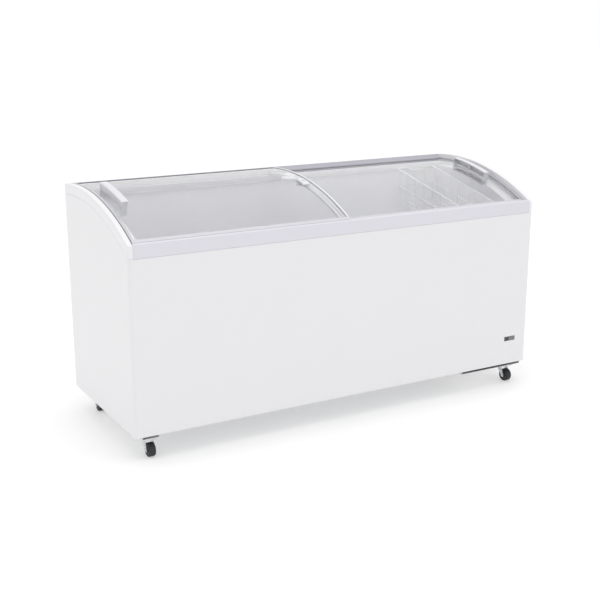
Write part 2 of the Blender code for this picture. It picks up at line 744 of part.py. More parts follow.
def build_glass(name, lid, glass):
    """The curved pane, seated in the grooves on all four edges."""
    inset_x = END_PROFILE_WIDTH - GROOVE + GAP
    inset = (PROFILE_WIDTH - GROOVE + GAP) / CURVE_RADIUS
    low = lid["low_x"] + inset_x
    high = lid["high_x"] - inset_x
    top = lid["top"] - GLASS_TOP
    section = rectangle(low, high, top - GLASS, top)
    return bar(name, section, lid["front"] - inset, lid["rear"] + inset, glass)


def build_handle(name, lid, plastic):
    """A pull along the lid's end: a channel open towards the lid's middle, with three ribs in it."""
    hand = lid["hand"]
    base = lid["top"] - GLASS_TOP + GAP
    top = base + HANDLE_HEIGHT
    outer = LID_OUTER_X - HANDLE_INSET
    inner = outer - HANDLE_WIDTH
    section = [(outer, base), (outer, top - 0.003), (outer - 0.003, top), (inner, top)]
    section += [(inner, top - HANDLE_WALL), (outer - HANDLE_WALL, top - HANDLE_WALL)]
    section += [(outer - HANDLE_WALL, base + HANDLE_WALL), (inner + 0.003, base + HANDLE_WALL)]
    section += [(inner + 0.003, base)]
    section = section if hand > 0 else mirrored(section)
    middle = angle_at(HANDLE_Y)
    half = HANDLE_LENGTH / 2 / CURVE_RADIUS
    handle = bar(name, section, middle + half, middle - half, plastic, steps=8)
    bm = bmesh.new()
    rib = [(inner + 0.002, base + 0.001), (outer - 0.001, base + 0.001), (outer - 0.001, top - 0.001)]
    rib += [(inner + 0.002, top - 0.001)]
    rib = rib if hand > 0 else mirrored(rib)
    thick = HANDLE_WALL / CURVE_RADIUS
    for share in (-1, 0, 1):
        centre = middle + share * (half - thick)
        add_bar(bm, rib, centre + thick / 2, centre - thick / 2, steps=1)
    return shaped(handle, made(name + "_ribs", bm, plastic), "UNION")


def build_lid(prefix, lid, finishes):
    """All the pieces that slide as one, hung on an empty at the lid's outer end."""
    pieces = [
        build_glass(prefix + "_glass", lid, finishes["glass"]),
        build_cross_profile(prefix + "_front_profile", lid, lid["front"], -1, finishes["frame"]),
        build_cross_profile(prefix + "_rear_profile", lid, lid["rear"], 1, finishes["frame"]),
        build_end_profile(prefix + "_left_profile", lid, lid["low_x"], 1, finishes["frame"]),
        build_end_profile(prefix + "_right_profile", lid, lid["high_x"], -1, finishes["frame"]),
        build_handle(prefix + "_handle", lid, finishes["handle"]),
    ]
    slide = empty(prefix + "_slide", on_curve(lid["hand"] * LID_OUTER_X, CURVE_RADIUS, 0.0))
    held_by(slide, *pieces)
    return slide, {piece.name: piece for piece in pieces}


# --- Lid lock ---


def lock_place():
    """Where the lock stands on the upper pane, and its lean about X."""
    angle = angle_at(LOCK_Y)
    return on_curve(LOCK_X, CURVE_RADIUS - GLASS_TOP, angle), angle


def upright_cylinder(name, centre, lean, radius, low, high, material, sides=20):
    """A round bar square to the pane, from low to high above it."""
    bm = bmesh.new()
    add_cylinder(bm, (0.0, 0.0), "Z", radius, low, high, sides)
    return made(name, bm, material, origin=centre, turn=lean, smooth=True)


def build_lock_housing(plastic):
    """A wedge-nosed block on the glass beside the meeting profile, bored for the barrel."""
    angle = angle_at(LOCK_Y)
    half = LOCK_LENGTH / 2 / CURVE_RADIUS
    low = CURVE_RADIUS - GLASS_TOP + GAP
    left = LOCK_X - LOCK_WIDTH / 2
    right = LOCK_X + LOCK_WIDTH / 2
    rings = []
    for share, height in ((1.0, 0.35), (0.55, 1.0), (0.0, 1.0), (-0.8, 1.0), (-1.0, 0.7)):
        top = low + LOCK_HEIGHT * height
        section = [(left, low), (left, top - 0.002), (left + 0.002, top), (right - 0.002, top)]
        section += [(right, top - 0.002), (right, low)]
        rings.append([on_curve(x, radius, angle + share * half) for x, radius in section])
    bm = bmesh.new()
    add_loft(bm, rings)
    housing = made("lock_housing", bm, plastic, smooth=True)
    centre, lean = lock_place()
    return shaped(housing, upright_cylinder("barrel_bore", centre, lean, BARREL_RADIUS + BARREL_FIT,
                                            -0.020, 0.040, plastic))


def build_lock_barrel(metal):
    """The key barrel, which passes through the pane, with its cam below."""
    centre, lean = lock_place()
    barrel = upright_cylinder("lock_barrel", centre, lean, BARREL_RADIUS, -CAM_DEPTH, LOCK_HEIGHT, metal)
    bm = bmesh.new()
    half = CAM_WIDTH / 2
    outline = [(0.0, -half), (0.0, half), (-CAM_LENGTH + half, half), (-CAM_LENGTH, half / 2)]
    outline += [(-CAM_LENGTH, -half / 2), (-CAM_LENGTH + half, -half)]
    low = GLASS_TOP - CAM_DEPTH - CAM_THICKNESS
    add_prism(bm, outline, "Z", low, low + CAM_THICKNESS)
    shaped(barrel, made("barrel_cam", bm, metal, origin=centre, turn=lean), "UNION")
    bm = bmesh.new()
    add_box(bm, (-0.004, -0.0006, LOCK_HEIGHT - 0.004), (0.004, 0.0006, LOCK_HEIGHT + 0.002))
    return shaped(barrel, made("key_slot", bm, metal, origin=centre, turn=lean))


def build_lid_stop(plastic):
    """A moulding on the lower lid's meeting profile: a rounded stop and the post that the lock's cam meets."""
    top = LOWER["top"]
    wall = LOWER["low_x"]
    bm = bmesh.new()
    high = UPPER["top"] - PROFILE_DEPTH - 2 * GAP
    body_low = top - STOP_THICKNESS
    body_high = top + 0.002
    section = rectangle(wall - 0.006, wall - GAP, body_low, body_high)
    add_bar(bm, section, angle_at(CATCH_Y[0]), angle_at(STOP_Y[1]), steps=6)
    stop = made("right_lid_stop", bm, plastic, smooth=True)
    bm = bmesh.new()
    middle = (STOP_Y[0] + STOP_Y[1]) / 2
    reach = (STOP_Y[1] - STOP_Y[0]) / 2
    rings = []
    for radius in (body_low, body_high - 0.002, body_high):
        shrink = 0.002 if radius == body_high else 0.0
        ring = []
        for step in range(9):
            turn = math.pi * (0.5 + step / 8)
            y = middle + (reach - shrink) * math.sin(turn)
            x = wall - 0.004 + (STOP_REACH - 0.004 - shrink) * math.cos(turn)
            ring.append(on_curve(x, radius, angle_at(y)))
        rings.append(ring)
    add_loft(bm, rings)
    shaped(stop, made("stop_lobe", bm, plastic), "UNION")
    bm = bmesh.new()
    post = rectangle(wall - 0.0055, wall - 0.0005, body_low + 0.001, high)
    add_bar(bm, post, angle_at(CATCH_Y[0]), angle_at(CATCH_Y[1]), steps=2)
    return shaped(stop, made("stop_post", bm, plastic), "UNION")


# --- Castors ---


def applied(thing, name):
    """The finished mesh of a cut or joined solid, so that its copies can share it."""
    bpy.context.view_layer.update()
    graph = bpy.context.evaluated_depsgraph_get()
    mesh = bpy.data.meshes.new_from_object(thing.evaluated_get(graph))
    mesh.name = name
    for step in list(thing.modifiers):
        bpy.data.objects.remove(step.object, do_unlink=True)
    bpy.data.objects.remove(thing, do_unlink=True)
    return mesh


def fork_leg(side, half):
    """One leg's outline corners as (x, y, z), from the crown down to its rounded foot and back up."""
    outer = side * FORK_HALF
    inner = side * (FORK_HALF - FORK_SHEET)
    reach = CROWN_BOTTOM - WHEEL_RADIUS
    corners = []
    for height in (CROWN_BOTTOM, WHEEL_RADIUS, WHEEL_RADIUS - FORK_FOOT):
        shift = -TRAIL * min(1.0, (CROWN_BOTTOM - height) / reach)
        narrow = 1.0 - FORK_TAPER * (CROWN_BOTTOM - height) / (reach + FORK_FOOT)
        corners.append((half * narrow + shift, height))
    down = [(outer, y, z) for y, z in corners]
    up = [(inner, y, z) for y, z in reversed(corners)]
    return down + up


def fork_mesh(zinc):
    """A bent sheet fork with its kingpin: a flat crown, and two legs that lean forward to a riveted axle."""
    top = CROWN_BOTTOM + FORK_SHEET
    bm = bmesh.new()
    rings = []
    for half in (-FORK_LENGTH / 2, FORK_LENGTH / 2):
        right = fork_leg(1, half)
        left = fork_leg(-1, half)
        rings.append([(-FORK_HALF, half, top), (FORK_HALF, half, top)] + right + left[::-1])
    add_loft(bm, rings)
    fork = made("fork_body", bm, zinc)
    bm = bmesh.new()
    add_cylinder(bm, (0.0, 0.0), "Z", KINGPIN_RADIUS, CROWN_BOTTOM + FORK_SHEET / 2, CASTOR_TOP - GAP, 12)
    add_cylinder(bm, (-TRAIL, WHEEL_RADIUS), "X", AXLE_RADIUS, -FORK_HALF, FORK_HALF, 12)
    shaped(fork, made("fork_pins", bm, zinc), "UNION")
    bm = bmesh.new()
    for side in (-1, 1):
        ends = sorted((side * (FORK_HALF - FORK_SHEET / 2), side * (FORK_HALF + AXLE_HEAD)))
        add_cylinder(bm, (-TRAIL, WHEEL_RADIUS), "X", AXLE_HEAD_RADIUS, *ends, 12)
    return applied(shaped(fork, made("rivet_heads", bm, zinc), "UNION"), "castor_fork")


def wheel_mesh(rubber):
    """A tyre and hub turned round the axle, about the wheel's own centre."""
    half = WHEEL_WIDTH / 2
    bore = AXLE_RADIUS + AXLE_FIT
    profile = [(bore, -half - HUB_PROUD), (HUB_RADIUS, -half - HUB_PROUD), (HUB_RADIUS, -half + DISC_SET)]
    profile += [(RIM_RADIUS, -half + DISC_SET), (RIM_RADIUS, -half), (WHEEL_RADIUS - TREAD_ROUND / 2, -half)]
    profile += [(WHEEL_RADIUS, -half + TREAD_ROUND)]
    profile += [(radius, -along) for radius, along in reversed(profile)]
    return applied(turned("wheel_body", profile, (0.0, 0.0, 0.0), "X", rubber, sides=24), "castor_wheel")


def plate_mesh(zinc):
    """The castor's top plate with the raceway that the fork turns in."""
    half = CASTOR_PLATE_SIDE / 2
    plate = box("plate_body", (-half, -half, CASTOR_TOP - CASTOR_PLATE), (half, half, CASTOR_TOP), zinc)
    middle = CASTOR_TOP - CASTOR_PLATE / 2
    shaped(plate, cylinder("plate_race", (0.0, 0.0), "Z", RACE_RADIUS, RACE_BOTTOM, middle, zinc), "UNION")
    hole = cylinder("plate_hole", (0.0, 0.0), "Z", KINGPIN_RADIUS + GAP, 0.0, 2 * CASTOR_TOP, zinc, 16)
    return applied(shaped(plate, hole), "castor_plate")


def linked(name, mesh, location):
    thing = bpy.data.objects.new(name, mesh)
    thing.location = location
    bpy.context.scene.collection.objects.link(thing)
    return thing


def build_castors(finishes):
    """Four swivel castors: a fixed plate, a fork that turns under it, and a wheel on the fork's axle."""
    plate = plate_mesh(finishes["zinc"])
    fork = fork_mesh(finishes["zinc"])
    wheel = wheel_mesh(finishes["rubber"])
    for x, side in ((-CASTOR_X, "left"), (CASTOR_X, "right")):
        for y, end in ((-CASTOR_Y, "front"), (CASTOR_Y, "rear")):
            place = end + "_" + side
            linked("castor_plate_" + place, plate, (x, y, 0.0))
            holder = linked("castor_fork_" + place, fork, (x, y, 0.0))
            held_by(holder, linked("castor_wheel_" + place, wheel, (x, y - TRAIL, WHEEL_RADIUS)))


def build_left_channel(zinc):
    """A folded channel under the base that carries the two left castors."""
    left = -CASTOR_X - CHANNEL_WIDTH / 2
    right = -CASTOR_X + CHANNEL_WIDTH / 2
    low = CHANNEL_BOTTOM
    top = CABINET_BOTTOM
    sheet = CHANNEL_SHEET
    outline = [(left, low), (right, low), (right, top), (right - sheet, top), (right - sheet, low + sheet)]
    outline += [(left + sheet, low + sheet), (left + sheet, top), (left, top)]
    reach = HALF_DEPTH - CHANNEL_END_INSET
    return prism("left_castor_channel", outline, "Y", -reach, reach, zinc)


def build_compressor_plate(zinc):
    """A tray under the machine bay, with air slots, that carries the compressor and the right castors."""
    left = BAY_X + 0.005
    right = HALF_LENGTH - SHEET - GAP
    low = CHANNEL_BOTTOM
    top = CABINET_BOTTOM
    sheet = CHANNEL_SHEET
    outline = [(left, low), (right, low), (right, top), (right - sheet, top), (right - sheet, low + sheet)]
    outline += [(left + sheet, low + sheet), (left + sheet, top), (left, top)]
    reach = HALF_DEPTH - CHANNEL_END_INSET
    tray = prism("compressor_plate", outline, "Y", -reach, reach, zinc)
    bm = bmesh.new()
    for index in range(6):
        y = -0.150 + 0.024 * index
        add_box(bm, (left + 0.030, y, low - 0.010), (left + 0.130, y + 0.008, low + 0.010))
    return shaped(tray, made("tray_slots", bm, zinc))


# --- Basket ---

BASKET_RIGHT = TUB_X - BASKET_END_GAP
BASKET_LEFT = BASKET_RIGHT - BASKET_LENGTH
RIM_Y = SKIRT_FACE - HANGER_WIDTH / 2


def basket_floor(y):
    share = (y + RIM_Y) / (2 * RIM_Y)
    return BASKET_BOTTOM_FRONT + (BASKET_BOTTOM_REAR - BASKET_BOTTOM_FRONT) * share


def basket_rim(y):
    """Height of the rim's axis, which slopes with the trim and clears the ledges' inner edges."""
    slope = (HANGER_REAR_TOP - HANGER_FRONT_TOP) / (2 * RIM_Y)
    front = HANGER_FRONT_TOP + GAP + RIM_WIRE + slope * HANGER_WIDTH
    return front + slope * (y + RIM_Y)


def build_basket(wire):
    """A wire basket that hangs by its rim on the rails' ledges, deeper at the front edge of the tub."""
    left = BASKET_LEFT + RIM_WIRE
    right = BASKET_RIGHT - RIM_WIRE
    middle = (left + right) / 2
    half_grip = GRIP_WIDTH / 2
    rear_z = basket_rim(RIM_Y)
    grip_y = RIM_Y - HANGER_WIDTH - RIM_WIRE
    rim = [(left, -RIM_Y, basket_rim(-RIM_Y)), (right, -RIM_Y, basket_rim(-RIM_Y)), (right, RIM_Y, rear_z)]
    grip = [(half_grip, RIM_Y, rear_z), (half_grip - GRIP_BEND / 2, grip_y, rear_z)]
    grip += [(half_grip - GRIP_BEND, grip_y, rear_z - GRIP_DROP)]
    rim += [(middle + x, y, z) for x, y, z in grip]
    rim += [(middle - x, y, z) for x, y, z in reversed(grip)]
    rim += [(left, RIM_Y, rear_z)]
    bm = bmesh.new()
    add_tube(bm, rounded_corners(rim, 0.004, 1), RIM_WIRE, WIRE_SIDES, closed=True)
    for depth, outside, lift in ((0.5, WIRE_SET, 0.0), (1.0, 0.0, RING_LIFT)):
        inset = BASKET_TAPER * depth - outside
        reach = RIM_Y - HANGER_WIDTH - BASKET_TAPER * depth
        ring = []
        for x, y in ((left + inset, -reach), (right - inset, -reach), (right - inset, reach),
                     (left + inset, reach)):
            top = basket_rim(y)
            ring.append((x, y, top + (basket_floor(y) - top) * depth + lift))
        add_tube(bm, rounded_corners(ring, 0.006, 1), BASKET_WIRE, WIRE_SIDES, closed=True)
    basket = made("wire_basket", bm, wire, smooth=True)
    bm = bmesh.new()
    low_left = left + BASKET_TAPER
    low_right = right - BASKET_TAPER
    reach = RIM_Y - HANGER_WIDTH - BASKET_TAPER - 0.006
    for index in range(CROSS_WIRES):
        y = -reach + 2 * reach * index / (CROSS_WIRES - 1)
        top = basket_rim(y)
        floor = basket_floor(y)
        path = [(left, y, top), (low_left, y, floor), (low_right, y, floor), (right, y, top)]
        add_tube(bm, rounded_corners(path, 0.006, 1, closed=False), BASKET_WIRE, WIRE_SIDES)
    shaped(basket, made("cross_wires", bm, wire), "UNION")
    bm = bmesh.new()
    edge = RIM_Y - HANGER_WIDTH
    low_reach = edge - BASKET_TAPER + WIRE_SET
    for index in range(LONG_WIRES):
        x = left + (right - left) * (index + 1) / (LONG_WIRES + 1)
        path = [(x, -RIM_Y, basket_rim(-RIM_Y)), (x, -edge, basket_rim(-RIM_Y))]
        path += [(x, -low_reach, basket_floor(-low_reach) - WIRE_SET)]
        path += [(x, low_reach, basket_floor(low_reach) - WIRE_SET)]
        if abs(x - middle) > half_grip:
            path += [(x, edge, rear_z), (x, RIM_Y, rear_z)]
        else:
            path += [(x, grip_y, rear_z - GRIP_DROP)]
        add_tube(bm, rounded_corners(path, 0.0028, 1, closed=False), BASKET_WIRE, WIRE_SIDES)
    return shaped(basket, made("long_wires", bm, wire), "UNION")


# --- Controller ---

CONTROL_LOW = CONTROL_Z - CONTROL_HEIGHT / 2
CONTROL_TOP = CONTROL_Z + CONTROL_HEIGHT / 2
CONTROL_LEFT = CONTROL_X - CONTROL_LENGTH / 2
WINDOW_X = CONTROL_LEFT + CONTROL_RIM
BUTTON_LEFT_X = WINDOW_X + WINDOW_LENGTH + 2 * GAP + CONTROL_RIM
BUTTON_RIGHT_X = BUTTON_LEFT_X + BUTTON_LENGTH + 2 * BUTTON_GAP + CONTROL_RIM / 2
FACE_LOW = CONTROL_LOW + CONTROL_RIM
FACE_TOP = CONTROL_TOP - CONTROL_RIM


def build_controller(finishes):
    """A box behind the front sheet whose face fills the cut-out, with a display window and two keys."""
    front = -HALF_DEPTH
    back = front + SHEET + GAP
    face = rectangle(CONTROL_LEFT, CONTROL_LEFT + CONTROL_LENGTH, CONTROL_LOW, CONTROL_TOP)
    housing = prism("control_housing", face, "Y", front + GAP, back + 0.004, finishes["grey"])
    body = rectangle(CONTROL_LEFT - 0.006, CONTROL_LEFT + CONTROL_LENGTH + 0.006, CONTROL_LOW - 0.006,
                     CONTROL_TOP + 0.006)
    shaped(housing, prism("housing_body", body, "Y", back, back + CONTROL_DEPTH, finishes["grey"]), "UNION")
    holes = bmesh.new()
    add_prism(holes, rectangle(WINDOW_X - GAP, WINDOW_X + WINDOW_LENGTH + GAP, FACE_LOW - GAP, FACE_TOP + GAP),
              "Y", front - 0.010, front + 0.004)
    for x in (BUTTON_LEFT_X, BUTTON_RIGHT_X):
        hole = rectangle(x - BUTTON_GAP, x + BUTTON_LENGTH + BUTTON_GAP, FACE_LOW - GAP, FACE_TOP + GAP)
        add_prism(holes, hole, "Y", front - 0.010, front + 0.006 + BUTTON_TRAVEL)
    shaped(housing, made("face_holes", holes, finishes["grey"]))
    glass = rectangle(WINDOW_X, WINDOW_X + WINDOW_LENGTH, FACE_LOW, FACE_TOP)
    prism("display_window", glass, "Y", front + GAP, front + 0.004 - GAP, finishes["display"])
    for name, x in (("set_button", BUTTON_LEFT_X), ("defrost_button", BUTTON_RIGHT_X)):
        bm = bmesh.new()
        low = (x, front, FACE_LOW + BUTTON_GAP)
        high = (x + BUTTON_LENGTH, front + 0.006 - BUTTON_GAP, FACE_TOP - BUTTON_GAP)
        add_box(bm, low, high)
        rim = [edge for edge in bm.edges if all(abs(vert.co.y - front) < 1e-6 for vert in edge.verts)]
        bmesh.ops.bevel(bm, geom=rim, offset=0.0008, segments=2, affect="EDGES", profile=0.5)
        made(name, bm, finishes["button"], origin=(x + BUTTON_LENGTH / 2, front, CONTROL_Z))


# --- Machine bay ---


def build_grille(grey):
    """The side grille: a plate in the sheet's opening with a flange behind it and slanting air slots."""
    outer = HALF_LENGTH - GAP
    back = HALF_LENGTH - SHEET - GAP
    inset = GAP
    face = rectangle(GRILLE_Y[0] + inset, GRILLE_Y[1] - inset, GRILLE_Z[0] + inset, GRILLE_Z[1] - inset)
    grille = prism("side_grille", face, "X", outer - GRILLE_THICKNESS, outer, grey)
    wide = rectangle(GRILLE_Y[0] - GRILLE_FLANGE, GRILLE_Y[1] + GRILLE_FLANGE, GRILLE_Z[0] - GRILLE_FLANGE,
                     GRILLE_Z[1] + GRILLE_FLANGE)
    shaped(grille, prism("grille_flange", wide, "X", back - 0.002, back, grey), "UNION")
    margin = 0.012
    pitch = (GRILLE_Z[1] - GRILLE_Z[0] - 2 * margin) / GRILLE_SLOTS
    middle = (GRILLE_Y[0] + GRILLE_Y[1]) / 2
    slots = bmesh.new()
    for index in range(GRILLE_SLOTS):
        low = GRILLE_Z[0] + margin + pitch * (index + 0.25)
        high = low + pitch * 0.5
        lean = pitch * 0.45
        inner_x = outer - GRILLE_THICKNESS - 0.004
        outline = [(inner_x, low + lean), (outer + 0.004, low - lean * 0.5), (outer + 0.004, high - lean * 0.5)]
        outline += [(inner_x, high + lean)]
        for start, end in ((GRILLE_Y[0] + margin, middle - 0.004), (middle + 0.004, GRILLE_Y[1] - margin)):
            add_prism(slots, outline, "Y", start, end)
    return shaped(grille, made("grille_slots", slots, grey))


def build_service_cover(white):
    """The back cover of the bay: a sheet tray with rows of air slots and the hole for the cord gland."""
    low = (COVER_X[0] + GAP, HALF_DEPTH - COVER_RETURN, COVER_Z[0] + GAP)
    high = (COVER_X[1] - GAP, HALF_DEPTH, COVER_Z[1] - GAP)
    cover = box("service_cover", low, high, white)
    inner_low = (low[0] + SHEET, low[1] - 0.010, low[2] + SHEET)
    inner_high = (high[0] - SHEET, high[1] - SHEET, high[2] - SHEET)
    shaped(cover, box("cover_hollow", inner_low, inner_high, white))
    slots = bmesh.new()
    rows = (high[2] - low[2]) * 0.62 / COVER_SLOTS
    for index in range(COVER_SLOTS):
        z = low[2] + (high[2] - low[2]) * 0.30 + rows * index
        for x in (low[0] + 0.025, (low[0] + high[0]) / 2 + 0.010):
            width = (high[0] - low[0]) / 2 - 0.035
            add_box(slots, (x, HALF_DEPTH - 0.005, z), (x + width, HALF_DEPTH + 0.005, z + rows * 0.4))
    x, z = gland_place()
    add_cylinder(slots, (x, z), "Y", GLAND_RADIUS + GAP, HALF_DEPTH - 0.005, HALF_DEPTH + 0.005, 20)
    return shaped(cover, made("cover_slots", slots, white))


def gland_place():
    return COVER_X[0] + 0.045, COVER_Z[0] + 0.038


def build_gland(black):
    """A cord gland: a bush through the cover with a nut behind it, open for a 7 mm cord."""
    x, z = gland_place()
    bore = 0.0042
    profile = [(bore, -0.018), (GLAND_RADIUS + 0.004, -0.018), (GLAND_RADIUS + 0.004, -SHEET - GAP)]
    profile += [(GLAND_RADIUS, -SHEET - GAP), (GLAND_RADIUS, -GAP), (bore, -GAP)]
    return turned("cable_gland", profile, (x, HALF_DEPTH, z), "Y", black)


TRAY_TOP = CHANNEL_BOTTOM + CHANNEL_SHEET
FOOT_HEIGHT = 0.020
FOOT_RADIUS = 0.011
FOOT_X = 0.088
FOOT_Y = 0.050
SHELL_X = 0.095
SHELL_Y = 0.075
SHELL_HEIGHT = 0.190
FOOT_PLATE = 0.003


def build_compressor(black):
    """A hermetic shell: two drawn halves with a welded flange, on a foot plate."""
    base = TRAY_TOP + GAP + FOOT_HEIGHT
    stations = [(0.001, 0.62), (0.010, 0.88), (0.030, 0.98), (0.085, 1.0), (0.085, 1.05), (0.092, 1.05),
                (0.092, 1.0), (0.145, 0.97), (0.172, 0.84), (SHELL_HEIGHT, 0.48)]
    rings = []
    for height, size in stations:
        ring = []
        for step in range(24):
            angle = 2 * math.pi * step / 24
            ring.append((COMPRESSOR_X + SHELL_X * size * math.cos(angle),
                         COMPRESSOR_Y + SHELL_Y * size * math.sin(angle), base + height))
        rings.append(ring)
    bm = bmesh.new()
    add_loft(bm, rings)
    shell = made("compressor", bm, black, smooth=True)
    foot = rectangle(COMPRESSOR_X - 0.100, COMPRESSOR_X + 0.100, COMPRESSOR_Y - 0.062, COMPRESSOR_Y + 0.062)
    shaped(shell, prism("compressor_foot", foot, "Z", base, base + FOOT_PLATE, black), "UNION")
    bm = bmesh.new()
    for x in (-FOOT_X, FOOT_X):
        for y in (-FOOT_Y, FOOT_Y):
            centre = (COMPRESSOR_X + x, COMPRESSOR_Y + y)
            add_cylinder(bm, centre, "Z", FOOT_RADIUS, TRAY_TOP + GAP, base + FOOT_PLATE / 2, 16)
    return shaped(shell, made("compressor_feet", bm, black), "UNION")


HEADER_OVERRUN = 0.005
HEADER_REAR = GRILLE_Y[1] + 0.002
ARM_START = 0.028
ARM_REACH = 0.011
ARM_SET = 0.009
ARM_SHEET = 0.003
ARM_WIDTH = 0.020
PIPE_OFFSET = 0.020
PIPE_RISE = 0.014
DISCHARGE_RADIUS = 0.003
SUCTION_RADIUS = 0.004
DRIER_RADIUS = 0.009
DRIER_X = BAY_X + 0.022
DRIER_Y = -0.150


def build_condenser(metal):
    """Flat tubes between two upright headers, behind the side grille."""
    middle = (CONDENSER_X[0] + CONDENSER_X[1]) / 2
    low = GRILLE_Z[0] - HEADER_OVERRUN
    high = GRILLE_Z[1] + HEADER_OVERRUN
    header = 0.009
    front = GRILLE_Y[0] - 0.002
    rear = HEADER_REAR
    bm = bmesh.new()
    for y in (front, rear):
        add_cylinder(bm, (middle, y), "Z", header, low, high, 12)
    condenser = made("condenser", bm, metal, smooth=True)
    tubes = bmesh.new()
    count = 9
    for index in range(count):
        z = low + (high - low) * (index + 0.5) / count
        add_box(tubes, (middle - 0.007, front, z - 0.0012), (middle + 0.007, rear, z + 0.0012))
    return shaped(condenser, made("flat_tubes", tubes, metal), "UNION")


def build_fan(finishes):
    """Shroud with a collar, motor on two arms, and a bladed rotor that turns about X."""
    ring = FAN_RADIUS + FAN_TIP_GAP
    side = ring + 0.014
    plate_low = SHROUD_X - 0.002
    face = rectangle(FAN_Y - side, FAN_Y + side, FAN_Z - side, FAN_Z + side)
    shroud = prism("fan_shroud", face, "X", plate_low, SHROUD_X, finishes["black"])
    collar = cylinder("shroud_collar", (FAN_Y, FAN_Z), "X", ring + 0.003, SHROUD_X - 0.034, plate_low + 0.001,
                      finishes["black"], 32)
    shaped(shroud, collar, "UNION")
    hole = cylinder("shroud_hole", (FAN_Y, FAN_Z), "X", ring, SHROUD_X - 0.050, SHROUD_X + 0.010,
                    finishes["black"], 32)
    shaped(shroud, hole)
    motor_high = SHROUD_X - 0.040
    motor = cylinder("fan_motor", (FAN_Y, FAN_Z), "X", 0.034, motor_high - 0.042, motor_high,
                     finishes["steel"], 20)
    arms = bmesh.new()
    strip_low = motor_high - ARM_SET - ARM_SHEET
    strip_high = motor_high - ARM_SET
    for towards in (-1, 1):
        near = FAN_Y + towards * ARM_START
        far = FAN_Y + towards * (ring + ARM_REACH)
        inner = far - towards * ARM_SHEET
        outline = [(strip_low, near), (strip_low, far), (plate_low - GAP, far), (plate_low - GAP, inner)]
        outline += [(strip_high, inner), (strip_high, near)]
        add_prism(arms, outline, "Z", FAN_Z - ARM_WIDTH / 2, FAN_Z + ARM_WIDTH / 2)
    shaped(motor, made("motor_arms", arms, finishes["steel"]), "UNION")
    hub_low = motor_high + 0.003
    hub_high = SHROUD_X - 0.010
    rotor = cylinder("fan_blade", (FAN_Y, FAN_Z), "X", FAN_HUB_RADIUS, hub_low, hub_high, finishes["black"], 20)
    blades = bmesh.new()
    for index in range(FAN_BLADES):
        start = 2 * math.pi * index / FAN_BLADES
        rings = []
        for share in (0.0, 0.5, 1.0):
            radius = FAN_HUB_RADIUS - 0.003 + (FAN_RADIUS - FAN_HUB_RADIUS + 0.003) * share
            spread = 0.42 - 0.06 * share
            x_low = hub_low + 0.003 + 0.004 * share
            x_high = hub_high - 0.003 - 0.004 * share
            ring = []
            for x, turn in ((x_low, -spread), (x_high, spread), (x_high + 0.0015, spread), (x_low + 0.0015, -spread)):
                angle = start + turn
                ring.append((x, FAN_Y + radius * math.cos(angle), FAN_Z + radius * math.sin(angle)))
            rings.append(ring)
        add_loft(blades, rings)
    shaped(rotor, made("blade_set", blades, finishes["black"]), "UNION")
    rotor.data.transform(Matrix.Translation((-SHROUD_X, -FAN_Y, -FAN_Z)))
    rotor.location = (SHROUD_X, FAN_Y, FAN_Z)


def build_pipes(copper):
    """Discharge pipe to the condenser, suction pipe up to the tub's coil, and the filter drier."""
    start = TRAY_TOP + GAP + FOOT_HEIGHT + SHELL_HEIGHT + GAP
    ceiling = BAY_TOP - GAP
    header_x = (CONDENSER_X[0] + CONDENSER_X[1]) / 2
    header_top = GRILLE_Z[1] + HEADER_OVERRUN + GAP
    x = COMPRESSOR_X + PIPE_OFFSET
    crest = header_top + PIPE_RISE
    path = [(x, COMPRESSOR_Y, start), (x, COMPRESSOR_Y, crest), (header_x, HEADER_REAR, crest)]
    path += [(header_x, HEADER_REAR, header_top)]
    tube("discharge_pipe", rounded_corners(path, 0.008, 3, closed=False), DISCHARGE_RADIUS, copper)
    x = COMPRESSOR_X - PIPE_OFFSET
    tube("suction_pipe", [(x, COMPRESSOR_Y, start), (x, COMPRESSOR_Y, ceiling)], SUCTION_RADIUS, copper)
    shell = DRIER_RADIUS
    neck = DISCHARGE_RADIUS
    profile = [(neck, 0.0), (neck, -0.030), (shell, -0.040), (shell, -0.130), (neck, -0.140)]
    bm = bmesh.new()
    rings = []
    for radius, along in profile:
        ring = []
        for step in range(12):
            angle = 2 * math.pi * step / 12
            ring.append((DRIER_X + radius * math.cos(angle), DRIER_Y + radius * math.sin(angle), ceiling + along))
        rings.append(ring)
    add_loft(bm, rings)
    made("filter_drier", bm, copper, smooth=True)


